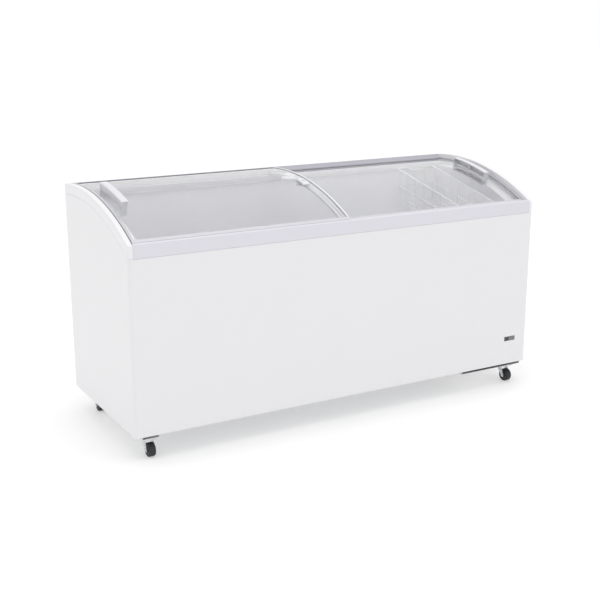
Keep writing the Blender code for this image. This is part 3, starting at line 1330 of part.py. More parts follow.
def build_all():
    for thing in list(bpy.data.objects):
        bpy.data.objects.remove(thing, do_unlink=True)
    white = surface("white_enamel", (0.83, 0.83, 0.83), 0.32)
    lilac = surface("frame_plastic", (0.74, 0.74, 0.78), 0.38)
    cap_white = surface("cap_plastic", (0.86, 0.86, 0.86), 0.40)
    zinc = surface("zinc_sheet", (0.55, 0.56, 0.57), 0.38, 0.9)
    finishes = {
        "glass": surface("clear_glass", (0.78, 0.80, 0.84), 0.05),
        "frame": surface("lid_frame", (0.78, 0.78, 0.79), 0.35),
        "handle": surface("handle_plastic", (0.72, 0.72, 0.73), 0.38),
        "zinc": zinc,
        "rubber": surface("black_rubber", (0.015, 0.015, 0.017), 0.70),
        "chrome": surface("chrome", (0.75, 0.75, 0.76), 0.15, 1.0),
        "grey": surface("grey_plastic", (0.55, 0.56, 0.56), 0.45),
        "display": surface("display_window", (0.03, 0.035, 0.035), 0.12),
        "button": surface("button_grey", (0.22, 0.23, 0.23), 0.45),
        "black": surface("black_paint", (0.02, 0.02, 0.022), 0.45),
        "steel": surface("plain_steel", (0.50, 0.50, 0.50), 0.40, 1.0),
    }
    build_casing(white)
    build_rear_panel(white)
    build_base_pan(zinc)
    build_liner(surface("tub_enamel", (0.80, 0.80, 0.82), 0.35))
    build_foam(surface("foam", (0.80, 0.72, 0.50), 0.90))
    build_evaporator(surface("coil_tube", (0.60, 0.60, 0.62), 0.40, 0.9))
    build_front_rail(lilac)
    build_rear_rail(lilac)
    build_end_cap("left_end_cap", -1, cap_white)
    build_end_cap("right_end_cap", 1, cap_white)
    build_inner_panel("left_inner_panel", -1, lilac)
    build_inner_panel("right_inner_panel", 1, lilac)
    slide, pieces = build_lid("left_lid", UPPER, finishes)
    centre, lean = lock_place()
    hole = upright_cylinder("lock_glass_hole", centre, lean, GLASS_HOLE_RADIUS, -0.020, 0.020, finishes["glass"])
    shaped(pieces["left_lid_glass"], hole)
    held_by(slide, build_lock_housing(finishes["handle"]), build_lock_barrel(finishes["chrome"]))
    slide, pieces = build_lid("right_lid", LOWER, finishes)
    held_by(slide, build_lid_stop(finishes["handle"]))
    build_basket(surface("coated_wire", (0.82, 0.82, 0.82), 0.40))
    build_castors(finishes)
    build_left_channel(zinc)
    build_compressor_plate(zinc)
    build_controller(finishes)
    build_grille(finishes["grey"])
    build_service_cover(white)
    build_gland(finishes["black"])
    build_compressor(finishes["black"])
    build_condenser(finishes["steel"])
    build_fan(finishes)
    build_pipes(surface("copper", (0.75, 0.38, 0.22), 0.35, 1.0))


build_all()
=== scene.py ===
import json
import math

import bmesh
import bpy
from mathutils import Matrix, Vector


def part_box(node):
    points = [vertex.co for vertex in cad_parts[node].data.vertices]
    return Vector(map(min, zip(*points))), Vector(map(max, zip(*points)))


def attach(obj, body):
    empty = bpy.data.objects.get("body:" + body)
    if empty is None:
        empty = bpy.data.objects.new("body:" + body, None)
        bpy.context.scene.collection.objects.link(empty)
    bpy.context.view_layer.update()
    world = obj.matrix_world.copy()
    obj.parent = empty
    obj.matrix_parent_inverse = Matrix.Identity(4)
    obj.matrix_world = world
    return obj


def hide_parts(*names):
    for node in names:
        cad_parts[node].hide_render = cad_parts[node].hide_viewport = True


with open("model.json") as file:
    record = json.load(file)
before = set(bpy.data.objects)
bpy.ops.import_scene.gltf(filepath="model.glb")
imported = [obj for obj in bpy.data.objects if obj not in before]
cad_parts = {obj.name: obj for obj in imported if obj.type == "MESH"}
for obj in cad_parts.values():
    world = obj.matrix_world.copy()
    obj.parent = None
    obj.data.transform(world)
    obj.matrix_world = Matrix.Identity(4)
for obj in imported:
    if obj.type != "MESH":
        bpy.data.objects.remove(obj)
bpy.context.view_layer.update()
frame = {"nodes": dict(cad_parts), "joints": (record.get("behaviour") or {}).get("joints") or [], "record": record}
nodes = frame["nodes"]
bodies = frame["record"]["behaviour"]["bodies"]
bodyOf = {part: body for body, members in bodies.items() for part in members}
print("frame:", len(nodes), "nodes")

# The lids, the rails' lips and the caps follow one curve about an axis along X.
curve = {"radius": 1.024, "y": 0.185, "crown": 0.8755}


def onCurve(x, radius, angle):
    y = curve["y"] - radius * math.sin(angle)
    z = curve["crown"] - curve["radius"] + radius * math.cos(angle)
    return Vector((x, y, z))


def angleAt(y, radius):
    return math.asin((curve["y"] - y) / radius)


# Finishes. Each is a procedural material in object space.
def newMaterial(name):
    material = bpy.data.materials.new(name)
    material.use_nodes = True
    nodeTree = material.node_tree
    return material, nodeTree, nodeTree.nodes["Principled BSDF"]


def addNode(nodeTree, kind, **inputs):
    made = nodeTree.nodes.new(kind)
    for key, value in inputs.items():
        made.inputs[key].default_value = value
    return made


unevenSettings = {"detail": {"broad": 3.0, "fine": 2.0}, "roughness": 0.55}


# Two sizes of noise, a broad one for tone and gloss and a fine one for the relief.
def unevenGroup(settings):
    group = bpy.data.node_groups.new("unevenness", "ShaderNodeTree")
    for name in settings["detail"]:
        group.interface.new_socket(name + "Scale", in_out="INPUT", socket_type="NodeSocketFloat")
        group.interface.new_socket(name, in_out="OUTPUT", socket_type="NodeSocketFloat")
    start = group.nodes.new("NodeGroupInput")
    end = group.nodes.new("NodeGroupOutput")
    place = group.nodes.new("ShaderNodeTexCoord")
    for name, detail in settings["detail"].items():
        noise = addNode(group, "ShaderNodeTexNoise", Detail=detail, Roughness=settings["roughness"])
        group.links.new(place.outputs["Object"], noise.inputs["Vector"])
        group.links.new(start.outputs[name + "Scale"], noise.inputs["Scale"])
        group.links.new(noise.outputs["Fac"], end.inputs[name])
    return group


uneven = unevenGroup(unevenSettings)


def ranged(nodeTree, source, low, high, fromLow=0.3, fromHigh=0.7):
    step = nodeTree.nodes.new("ShaderNodeMapRange")
    step.inputs["From Min"].default_value = fromLow
    step.inputs["From Max"].default_value = fromHigh
    step.inputs["To Min"].default_value = low
    step.inputs["To Max"].default_value = high
    nodeTree.links.new(source, step.inputs["Value"])
    return step.outputs["Result"]


def toned(nodeTree, source, dark, light):
    step = nodeTree.nodes.new("ShaderNodeMix")
    step.data_type = "RGBA"
    step.inputs["A"].default_value = (*dark, 1.0)
    step.inputs["B"].default_value = (*light, 1.0)
    nodeTree.links.new(source, step.inputs["Factor"])
    return step.outputs["Result"]


def raised(nodeTree, source, strength, depth):
    relief = addNode(nodeTree, "ShaderNodeBump", Strength=strength, Distance=depth)
    nodeTree.links.new(source, relief.inputs["Height"])
    return relief.outputs["Normal"]


# A painted, moulded or coated surface with a slightly uneven tone and gloss.
coatedDefaults = {"broadScale": 4.0, "fineScale": 700.0, "toneChange": 0.006, "roughnessChange": 0.03,
                  "reliefStrength": 0.2, "reliefDepth": 0.00003, "metallic": 0.0, "coat": 0.0,
                  "coatRoughness": 0.12}


def coated(name, colour, roughness, **changes):
    settings = {**coatedDefaults, **changes}
    material, nodeTree, shader = newMaterial(name)
    both = nodeTree.nodes.new("ShaderNodeGroup")
    both.node_tree = uneven
    both.inputs["broadScale"].default_value = settings["broadScale"]
    both.inputs["fineScale"].default_value = settings["fineScale"]
    change = settings["toneChange"]
    darker = tuple(max(0.0, part - change) for part in colour)
    lighter = tuple(min(1.0, part + change) for part in colour)
    mask = ranged(nodeTree, both.outputs["broad"], 0.0, 1.0)
    spread = settings["roughnessChange"]
    gloss = ranged(nodeTree, both.outputs["broad"], roughness - spread, roughness + spread)
    relief = raised(nodeTree, both.outputs["fine"], settings["reliefStrength"], settings["reliefDepth"])
    nodeTree.links.new(toned(nodeTree, mask, darker, lighter), shader.inputs["Base Color"])
    nodeTree.links.new(gloss, shader.inputs["Roughness"])
    nodeTree.links.new(relief, shader.inputs["Normal"])
    shader.inputs["Metallic"].default_value = settings["metallic"]
    shader.inputs["Coat Weight"].default_value = settings["coat"]
    shader.inputs["Coat Roughness"].default_value = settings["coatRoughness"]
    return material


zincSettings = {"colour": (0.66, 0.67, 0.69), "darker": 0.88, "lighter": 1.08, "roughness": (0.28, 0.48),
                "metallic": 0.9, "spangleScale": 90.0, "grainScale": 900.0, "grainDetail": 2.0,
                "reliefStrength": 0.15, "reliefDepth": 0.00003}


# Galvanised sheet is a patchwork of spangles that differ in tone and gloss.
def zincCoated(name, settings):
    material, nodeTree, shader = newMaterial(name)
    colour = settings["colour"]
    place = nodeTree.nodes.new("ShaderNodeTexCoord")
    cells = addNode(nodeTree, "ShaderNodeTexVoronoi", Scale=settings["spangleScale"])
    grain = addNode(nodeTree, "ShaderNodeTexNoise", Scale=settings["grainScale"],
                    Detail=settings["grainDetail"])
    parts = nodeTree.nodes.new("ShaderNodeSeparateColor")
    nodeTree.links.new(place.outputs["Object"], cells.inputs["Vector"])
    nodeTree.links.new(place.outputs["Object"], grain.inputs["Vector"])
    nodeTree.links.new(cells.outputs["Color"], parts.inputs["Color"])
    darker = tuple(part * settings["darker"] for part in colour)
    lighter = tuple(min(1.0, part * settings["lighter"]) for part in colour)
    gloss = ranged(nodeTree, parts.outputs["Green"], *settings["roughness"], 0.0, 1.0)
    relief = raised(nodeTree, grain.outputs["Fac"], settings["reliefStrength"], settings["reliefDepth"])
    nodeTree.links.new(toned(nodeTree, parts.outputs["Red"], darker, lighter), shader.inputs["Base Color"])
    nodeTree.links.new(gloss, shader.inputs["Roughness"])
    nodeTree.links.new(relief, shader.inputs["Normal"])
    shader.inputs["Metallic"].default_value = settings["metallic"]
    return material


glassSettings = {"colour": (0.985, 0.99, 0.995), "shadow": (0.97, 0.975, 0.985), "index": 1.5,
                 "roughness": (0.0, 0.015), "smearScale": 6.0, "smearDetail": 5.0, "smearRoughness": 0.6}


# Clear float glass. Lamps' rays pass straight through it, so that the tub is lit.
def paneGlass(name, settings):
    material, nodeTree, shader = newMaterial(name)
    shader.inputs["Base Color"].default_value = (*settings["colour"], 1.0)
    shader.inputs["Transmission Weight"].default_value = 1.0
    shader.inputs["IOR"].default_value = settings["index"]
    place = nodeTree.nodes.new("ShaderNodeTexCoord")
    smear = addNode(nodeTree, "ShaderNodeTexNoise", Scale=settings["smearScale"],
                    Detail=settings["smearDetail"], Roughness=settings["smearRoughness"])
    through = addNode(nodeTree, "ShaderNodeBsdfTransparent", Color=(*settings["shadow"], 1.0))
    path = nodeTree.nodes.new("ShaderNodeLightPath")
    mixed = nodeTree.nodes.new("ShaderNodeMixShader")
    link = nodeTree.links.new
    link(place.outputs["Object"], smear.inputs["Vector"])
    link(ranged(nodeTree, smear.outputs["Fac"], *settings["roughness"]), shader.inputs["Roughness"])
    link(path.outputs["Is Shadow Ray"], mixed.inputs["Fac"])
    link(shader.outputs["BSDF"], mixed.inputs[1])
    link(through.outputs["BSDF"], mixed.inputs[2])
    link(mixed.outputs["Shader"], nodeTree.nodes["Material Output"].inputs["Surface"])
    return material


looks = {
    "enamel": coated("whiteEnamel", (0.75, 0.745, 0.76), 0.32, fineScale=420.0, reliefDepth=0.00005,
                     toneChange=0.002, roughnessChange=0.008, coat=0.3),
    "rail": coated("railPlastic", (0.67, 0.66, 0.715), 0.36, fineScale=1500.0, toneChange=0.004),
    # The rear rail takes the rail's plastic painted darker: painted shade.
    "rearRail": coated("railPlasticPaintedShade", (0.57, 0.56, 0.61), 0.36, fineScale=1500.0, toneChange=0.004),
    "cap": coated("capPlastic", (0.775, 0.77, 0.785), 0.36, fineScale=1300.0, toneChange=0.004),
    "tub": coated("tubEnamel", (0.94, 0.935, 0.96), 0.42, fineScale=260.0, reliefDepth=0.00008,
                  reliefStrength=0.3, broadScale=2.0),
    # The lid profiles are one finish in four tones, painted lighter or darker by where light and shade fall on
    # each edge: lit on the meeting profiles, painted shade on the front, deeper painted shade on the side ends and
    # the deepest painted shade on the rear.
    "paintedLitFrame": coated("paintedLitFrame", (0.73, 0.73, 0.75), 0.34, fineScale=1100.0),
    "railFrame": coated("railFrame", (0.60, 0.59, 0.63), 0.34, fineScale=1100.0),
    "sidePaintedShadeFrame": coated("sidePaintedShadeFrame", (0.52, 0.52, 0.55), 0.36, fineScale=1100.0),
    "paintedShadeFrame": coated("paintedShadeFrame", (0.36, 0.355, 0.40), 0.36, fineScale=1100.0),
    "pull": coated("pullPlastic", (0.69, 0.69, 0.71), 0.38, fineScale=1600.0),
    "wire": coated("coatedWire", (0.83, 0.83, 0.845), 0.34, fineScale=900.0),
    "channel": coated("channelPaint", (0.72, 0.72, 0.73), 0.42, fineScale=600.0),
    "grille": coated("greyPlastic", (0.50, 0.51, 0.52), 0.46, fineScale=1400.0),
    "face": coated("controlFace", (0.62, 0.63, 0.63), 0.42, fineScale=1800.0),
    "key": coated("keyPlastic", (0.16, 0.17, 0.17), 0.48, fineScale=2200.0),
    "display": coated("displayPane", (0.018, 0.022, 0.022), 0.10, roughnessChange=0.02, toneChange=0.003,
                      reliefStrength=0.02, coat=0.6),
    "tyre": coated("tyreRubber", (0.014, 0.014, 0.016), 0.52, fineScale=1200.0, reliefDepth=0.00006),
    "hub": coated("hubPlastic", (0.030, 0.030, 0.033), 0.36, fineScale=1500.0),
    "chrome": coated("chromePlate", (0.80, 0.80, 0.81), 0.14, metallic=1.0, roughnessChange=0.05,
                     reliefStrength=0.04),
    # The keyway's black is painted shade, in place of the dark inside the slot.
    "slot": coated("keywayPaintedShade", (0.010, 0.010, 0.011), 0.60, toneChange=0.002),
    "black": coated("blackEnamel", (0.016, 0.016, 0.018), 0.34, fineScale=500.0, toneChange=0.004, coat=0.2),
    "blackPlastic": coated("blackPlastic", (0.022, 0.022, 0.024), 0.44, fineScale=1500.0, toneChange=0.005),
    "steel": coated("plainSteel", (0.50, 0.50, 0.51), 0.36, metallic=1.0, fineScale=800.0, toneChange=0.05),
    "copper": coated("copperPipe", (0.72, 0.36, 0.22), 0.30, metallic=1.0, broadScale=30.0, toneChange=0.07,
                     roughnessChange=0.10),
    "foam": coated("cutFoam", (0.78, 0.69, 0.46), 0.90, fineScale=350.0, reliefDepth=0.0004,
                   reliefStrength=0.6, toneChange=0.03),
    "zinc": zincCoated("zincSheet", zincSettings),
    "glass": paneGlass("paneGlass", glassSettings),
}
print("materials:", len(looks))


# Gives a plain mesh its finish and hangs it on the body that it rides with.
def finished(name, mesh, look, body, stands=(), smoothAngle=32.0):
    mesh.materials.clear()
    mesh.materials.append(looks[look])
    if not mesh.has_custom_normals:
        mesh.shade_smooth()
        mesh.set_sharp_from_angle(angle=math.radians(smoothAngle))
    piece = bpy.data.objects.new(name, mesh)
    bpy.context.scene.collection.objects.link(piece)
    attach(piece, body)
    if stands:
        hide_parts(*stands)
    return piece


def meshOf(name, bm):
    bmesh.ops.recalc_face_normals(bm, faces=bm.faces)
    mesh = bpy.data.meshes.new(name)
    bm.to_mesh(mesh)
    bm.free()
    return mesh


fullWeight = 100    # the largest face at a corner alone sets the normal there


# Takes any cutters out of a mesh, rounds its sharp edges and shades its flat faces flat.
def rounded(mesh, width, segments=2, angle=30.0, cutters=()):
    holder = bpy.data.objects.new("working", mesh)
    bpy.context.scene.collection.objects.link(holder)
    mesh.shade_smooth()
    mesh.set_sharp_from_angle(angle=math.radians(angle))
    for cutter in cutters:
        step = holder.modifiers.new("cut", "BOOLEAN")
        step.object = cutter
        step.solver = "EXACT"
    if width:
        step = holder.modifiers.new("round", "BEVEL")
        step.width = width
        step.segments = segments
        step.limit_method = "ANGLE"
        step.angle_limit = math.radians(angle)
        step.miter_outer = "MITER_ARC"
        step.harden_normals = True
    step = holder.modifiers.new("flatten", "WEIGHTED_NORMAL")
    step.weight = fullWeight
    step.keep_sharp = not width
    bpy.context.view_layer.update()
    graph = bpy.context.evaluated_depsgraph_get()
    done = bpy.data.meshes.new_from_object(holder.evaluated_get(graph))
    for thing in (holder, *cutters):
        bpy.data.objects.remove(thing, do_unlink=True)
    return done


cadMesh = {"mergeDistance": 1e-6, "flatAngle": 0.5}    # metres and degrees


# A CAD node's own shape with its flat faces made whole, its edges rounded and a new finish. A
# slotted piece keeps its small faces.
def dressed(name, source, look, width=0.0005, segments=2, slotted=False):
    bm = bmesh.new()
    bm.from_mesh(nodes[source].data)
    bmesh.ops.remove_doubles(bm, verts=bm.verts, dist=cadMesh["mergeDistance"])
    if not slotted:
        flat = math.radians(cadMesh["flatAngle"])
        bmesh.ops.dissolve_limit(bm, angle_limit=flat, verts=bm.verts, edges=bm.edges)
    mesh = rounded(meshOf(name, bm), width, segments)
    return finished(name, mesh, look, bodyOf[source], stands=[source])


# Skins a row of rings with the same number of points. A closed row joins its last ring to its
# first, whose points are taken shift places on.
def addLoft(bm, rings, closed=False, shift=0):
    loops = [[bm.verts.new(point) for point in ring] for ring in rings]
    if closed:
        loops.append([loops[0][(index - shift) % len(loops[0])] for index in range(len(loops[0]))])
    for near, far in zip(loops, loops[1:]):
        for index, corner in enumerate(near):
            after = (index + 1) % len(near)
            bm.faces.new((corner, near[after], far[after], far[index]))
    if not closed:
        bm.faces.new(loops[0])
        bm.faces.new(loops[-1])


axes = {"X": Vector((1, 0, 0)), "Z": Vector((0, 0, 1))}
nearAxis = 0.0001    # a turned profile stops this far from its axis


# Turns a closed profile of (radius, along) points round an axis through centre.
def addTurned(bm, profile, centre, axis, sides):
    along = axes[axis]
    first = along.orthogonal().normalized()
    second = along.cross(first)
    rings = []
    for step in range(sides):
        turn = 2 * math.pi * step / sides
        spoke = first * math.cos(turn) + second * math.sin(turn)
        rings.append([Vector(centre) + spoke * radius + along * reach for radius, reach in profile])
    addLoft(bm, rings, closed=True)


def addTube(bm, points, radius, sides, closed=False):
    path = [Vector(point) for point in points]
    side = None
    rings = []
    for index, here in enumerate(path):
        before = path[index - 1] if closed or index else here
        after = path[(index + 1) % len(path)] if closed or index < len(path) - 1 else here
        tangent = (after - before).normalized()
        side = side or tangent.orthogonal()
        side = (side - tangent * side.dot(tangent)).normalized()
        other = tangent.cross(side)
        turns = [2 * math.pi * step / sides for step in range(sides)]
        rings.append([here + (side * math.cos(turn) + other * math.sin(turn)) * radius for turn in turns])
    if not closed:
        addLoft(bm, rings)
        return
    first = rings[0][0] - path[0]
    last = rings[-1][0] - path[-1]
    ahead = (path[1] - path[-1]).normalized()
    twist = math.atan2(ahead.dot(last.cross(first)), last.dot(first))
    addLoft(bm, rings, closed=True, shift=round(twist / (2 * math.pi / sides)) % sides)


# Replaces each corner of a path by a bend.
def bends(corners, radius, steps, closed=True):
    points = [Vector(corner) for corner in corners]
    count = len(points)
    path = []
    for index, corner in enumerate(points):
        if not closed and index in (0, count - 1):
            path.append(corner)
            continue
        start = corner + (points[index - 1] - corner).normalized() * radius
        end = corner + (points[(index + 1) % count] - corner).normalized() * radius
        for step in range(steps + 1):
            share = step / steps
            path.append(start.lerp(corner, share).lerp(corner.lerp(end, share), share))
    return path


# Sets one shape on every place with a Geometry Nodes tree, which then becomes one plain mesh.
def repeated(name, places, shape, look, body):
    points = bpy.data.meshes.new(name)
    points.from_pydata([place for place, turn in places], [], [])
    turns = points.attributes.new("turn", "FLOAT_VECTOR", "POINT")
    for index, (place, turn) in enumerate(places):
        turns.data[index].vector = turn
    group = bpy.data.node_groups.new(name + "Tree", "GeometryNodeTree")
    group.interface.new_socket("Geometry", in_out="INPUT", socket_type="NodeSocketGeometry")
    shapeInput = group.interface.new_socket("Shape", in_out="INPUT", socket_type="NodeSocketObject")
    finishInput = group.interface.new_socket("Finish", in_out="INPUT", socket_type="NodeSocketMaterial")
    group.interface.new_socket("Geometry", in_out="OUTPUT", socket_type="NodeSocketGeometry")
    start = group.nodes.new("NodeGroupInput")
    end = group.nodes.new("NodeGroupOutput")
    info = group.nodes.new("GeometryNodeObjectInfo")
    turned = group.nodes.new("GeometryNodeInputNamedAttribute")
    turned.data_type = "FLOAT_VECTOR"
    turned.inputs["Name"].default_value = "turn"
    copies = group.nodes.new("GeometryNodeInstanceOnPoints")
    real = group.nodes.new("GeometryNodeRealizeInstances")
    paint = group.nodes.new("GeometryNodeSetMaterial")
    link = group.links.new
    link(start.outputs["Shape"], info.inputs["Object"])
    link(start.outputs["Geometry"], copies.inputs["Points"])
    link(info.outputs["Geometry"], copies.inputs["Instance"])
    link(turned.outputs["Attribute"], copies.inputs["Rotation"])
    link(copies.outputs["Instances"], real.inputs["Geometry"])
    link(real.outputs["Geometry"], paint.inputs["Geometry"])
    link(start.outputs["Finish"], paint.inputs["Material"])
    link(paint.outputs["Geometry"], end.inputs["Geometry"])
    holder = bpy.data.objects.new(name + "Holder", points)
    template = bpy.data.objects.new(name + "Shape", shape)
    for thing in (holder, template):
        bpy.context.scene.collection.objects.link(thing)
    step = holder.modifiers.new("repeat", "NODES")
    step.node_group = group
    step[shapeInput.identifier] = template
    step[finishInput.identifier] = looks[look]
    bpy.context.view_layer.update()
    graph = bpy.context.evaluated_depsgraph_get()
    mesh = bpy.data.meshes.new_from_object(holder.evaluated_get(graph))
    holder.modifiers.remove(step)
    for thing in (holder, template):
        bpy.data.objects.remove(thing, do_unlink=True)
    return finished(name, mesh, look, body)


# The cabinet. Each entry gives the CAD node, the finish, the width and segments of its rounded
# edges, and True if it is slotted.
shellPieces = {
    "casing": ("outer_casing", "enamel", 0.00015, 1),
    "backSheet": ("rear_panel", "enamel", 0.00015, 1),
    "basePan": ("base_pan", "zinc", 0.00015, 1),
    "tub": ("inner_liner", "tub", 0.0004, 2),
    "foamFill": ("insulation_foam", "foam", 0.0, 1),
    "evaporatorTube": ("evaporator_coil", "steel", 0.0, 1),
    "frontRail": ("front_rail", "rail", 0.0007, 2),
    # The rear rail's finish is the rail's plastic in painted shade.
    "rearRail": ("rear_rail", "rearRail", 0.0007, 2),
    "leftCap": ("left_end_cap", "cap", 0.0008, 2),
    "rightCap": ("right_end_cap", "cap", 0.0008, 2),
    "leftTrim": ("left_inner_panel", "rail", 0.0004, 2),
    "rightTrim": ("right_inner_panel", "rail", 0.0004, 2),
    "leftChannel": ("left_castor_channel", "channel", 0.0005, 2),
    "compressorTray": ("compressor_plate", "channel", 0.0005, 2),
    "sideGrille": ("side_grille", "grille", 0.0003, 2, True),
    "serviceCover": ("service_cover", "enamel", 0.0002, 1, True),
    "cordGland": ("cable_gland", "blackPlastic", 0.0006, 2),
    "controlHousing": ("control_housing", "face", 0.0003, 2),
    "displayPane": ("display_window", "display", 0.0003, 2),
    "setKey": ("set_button", "key", 0.0003, 2),
    "defrostKey": ("defrost_button", "key", 0.0003, 2),
}
for name, piece in shellPieces.items():
    dressed(name, *piece)
print("cabinet:", len(shellPieces), "pieces")


# The lids. The right one runs lower, under the left one.
paneSettings = {"steps": 56, "set": 0.0025, "thickness": 0.004, "round": 0.0006, "roundSegments": 2,
                "roundAngle": 40.0, "hole": 0.012, "holeX": -0.035, "holeY": -0.020, "holeReach": 0.020,
                "holeSides": 32}
# Each lid's profiles take tones of one finish: painted light on the meeting edge and painted shade on the others.
lidSettings = {
    "left": {"drop": 0.0, "frames": {"front": "railFrame", "rear": "paintedShadeFrame", "left": "sidePaintedShadeFrame",
                                     "right": "paintedLitFrame"}},
    "right": {"drop": 0.017, "frames": {"front": "railFrame", "rear": "paintedShadeFrame", "left": "paintedLitFrame",
                                        "right": "sidePaintedShadeFrame"}},
}
lidRounding = {"frame": (0.0007, 2), "pull": (0.0009, 3)}    # width and segments
lockPieces = {
    "lockBody": ("lock_housing", "pull", 0.0008, 3),
    "lockBarrel": ("lock_barrel", "chrome", 0.0003, 2),
    "lidStop": ("right_lid_stop", "pull", 0.0007, 2),
}


def holeCutter(settings, radius):
    bm = bmesh.new()
    reach = settings["holeReach"]
    hole = settings["hole"]
    profile = [(nearAxis, -reach), (hole, -reach), (hole, reach), (nearAxis, reach)]
    addTurned(bm, profile, (0, 0, 0), "Z", settings["holeSides"])
    cutter = bpy.data.objects.new("lockHole", meshOf("lockHole", bm))
    angle = angleAt(settings["holeY"], curve["radius"])
    cutter.location = onCurve(settings["holeX"], radius, angle)
    cutter.rotation_euler = (angle, 0.0, 0.0)
    bpy.context.scene.collection.objects.link(cutter)
    return cutter


# A smooth bent pane with ground edges, where the CAD's pane lies.
def lidPane(hand, drop, settings):
    node = hand + "_lid_glass"
    low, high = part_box(node)
    outer = curve["radius"] - drop - settings["set"]
    inner = outer - settings["thickness"]
    front = angleAt(low[1], outer)
    rear = angleAt(high[1], outer)
    bm = bmesh.new()
    rings = []
    for step in range(settings["steps"] + 1):
        angle = front + (rear - front) * step / settings["steps"]
        section = ((low[0], outer), (high[0], outer), (high[0], inner), (low[0], inner))
        rings.append([onCurve(x, radius, angle) for x, radius in section])
    addLoft(bm, rings)
    cutters = [holeCutter(settings, outer)] if hand == "left" else []
    mesh = rounded(meshOf(hand + "Pane", bm), settings["round"], settings["roundSegments"],
                   settings["roundAngle"], cutters)
    finished(hand + "Pane", mesh, "glass", bodyOf[node], stands=[node])


for hand, settings in lidSettings.items():
    lidPane(hand, settings["drop"], paneSettings)
    for edge, look in settings["frames"].items():
        name = f"{hand}Lid{edge.capitalize()}Frame"
        dressed(name, f"{hand}_lid_{edge}_profile", look, *lidRounding["frame"])
    dressed(hand + "LidPull", hand + "_lid_handle", "pull", *lidRounding["pull"])
for name, piece in lockPieces.items():
    dressed(name, *piece)

keywaySettings = {"length": 0.0084, "width": 0.0016, "depth": 0.0012, "proud": 0.0001}


# A keyway across the face of the lock's barrel: a thin black box standing just proud of the face, painted shade in
# place of the dark inside of the slot.
def buildKeyway(settings):
    joint = next(joint for joint in frame["joints"] if joint["child"] == "lid_lock")
    axis = Vector(joint["axis"]).normalized()
    axis = axis if axis.z > 0.0 else -axis
    centre = Vector(joint["pos_m"])
    barrel = nodes["lock_barrel"]
    face = max((barrel.matrix_world @ corner.co - centre).dot(axis) for corner in barrel.data.vertices)
    middle = centre + axis * (face + settings["proud"] - settings["depth"] / 2)
    size = Matrix.Diagonal((settings["length"], settings["width"], settings["depth"], 1.0))
    turn = axis.to_track_quat("Z", "Y").to_matrix().to_4x4()
    bm = bmesh.new()
    bmesh.ops.create_cube(bm, size=1.0, matrix=Matrix.Translation(middle) @ turn @ size)
    finished("keyway", meshOf("keyway", bm), "slot", "lid_lock")


buildKeyway(keywaySettings)
print("lids:", len(lidSettings))


# The basket, in round welded wires on the routes of the CAD's basket.
basketSettings = {"rimWire": 0.0025, "wire": 0.0016, "sides": 12, "reach": 0.2447, "hanger": 0.006,
                  "rimFront": 0.7142, "rimRise": 0.113, "floorFront": 0.600, "floorRise": 0.087,
                  "taper": 0.005, "set": 0.0022, "lift": 0.004, "crossWires": 9, "longWires": 3,
                  "gripHalf": 0.045, "gripBend": 0.012, "gripDrop": 0.009, "middleRing": 0.5,
                  "bend": 0.006, "rimBend": 0.0035, "bendSteps": 5, "longBend": 0.0028, "longBendSteps": 4,
                  "smoothAngle": 50.0}


def buildBasket(settings):
    low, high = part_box("wire_basket")
    rim = settings["rimWire"]
    wire = settings["wire"]
    sides = settings["sides"]
    reach = settings["reach"]
    taper = settings["taper"]
    sunk = settings["set"]
    bend = settings["bend"]
    steps = settings["bendSteps"]
    left, right = low[0] + rim, high[0] - rim
    middle = (left + right) / 2
    edge = reach - settings["hanger"]

    def rimZ(y):
        return settings["rimFront"] + settings["rimRise"] * (y + reach) / (2 * reach)

    def floorZ(y):
        return settings["floorFront"] + settings["floorRise"] * (y + reach) / (2 * reach)

    rearZ = rimZ(reach)
    gripY = edge - rim
    gripHalf = settings["gripHalf"]
    gripLow = rearZ - settings["gripDrop"]
    grip = [(gripHalf, reach, rearZ), (gripHalf - settings["gripBend"] / 2, gripY, rearZ),
            (gripHalf - settings["gripBend"], gripY, gripLow)]
    corners = [(left, -reach, rimZ(-reach)), (right, -reach, rimZ(-reach)), (right, reach, rearZ)]
    corners += [(middle + x, y, z) for x, y, z in grip]
    corners += [(middle - x, y, z) for x, y, z in reversed(grip)]
    corners += [(left, reach, rearZ)]
    bm = bmesh.new()
    addTube(bm, bends(corners, settings["rimBend"], steps), rim, sides, closed=True)
    for depth, outside, lift in ((settings["middleRing"], sunk, 0.0), (1.0, 0.0, settings["lift"])):
        inset = taper * depth - outside
        across = edge - taper * depth
        ring = []
        for x, y in ((left + inset, -across), (right - inset, -across), (right - inset, across),
                     (left + inset, across)):
            ring.append((x, y, rimZ(y) + (floorZ(y) - rimZ(y)) * depth + lift))
        addTube(bm, bends(ring, bend, steps), wire, sides, closed=True)
    span = edge - taper - bend
    for index in range(settings["crossWires"]):
        y = -span + 2 * span * index / (settings["crossWires"] - 1)
        path = [(left, y, rimZ(y)), (left + taper, y, floorZ(y)), (right - taper, y, floorZ(y)),
                (right, y, rimZ(y))]
        addTube(bm, bends(path, bend, steps, closed=False), wire, sides)
    deep = edge - taper + sunk
    for index in range(settings["longWires"]):
        x = left + (right - left) * (index + 1) / (settings["longWires"] + 1)
        path = [(x, -reach, rimZ(-reach)), (x, -edge, rimZ(-reach)), (x, -deep, floorZ(-deep) - sunk),
                (x, deep, floorZ(deep) - sunk)]
        behind = [(x, edge, rearZ), (x, reach, rearZ)]
        path += [(x, gripY, gripLow)] if abs(x - middle) < gripHalf else behind
        addTube(bm, bends(path, settings["longBend"], settings["longBendSteps"], closed=False), wire, sides)
    finished("basketWires", meshOf("basketWires", bm), "wire", "basket", ["wire_basket"],
             settings["smoothAngle"])


buildBasket(basketSettings)
print("basket: done")


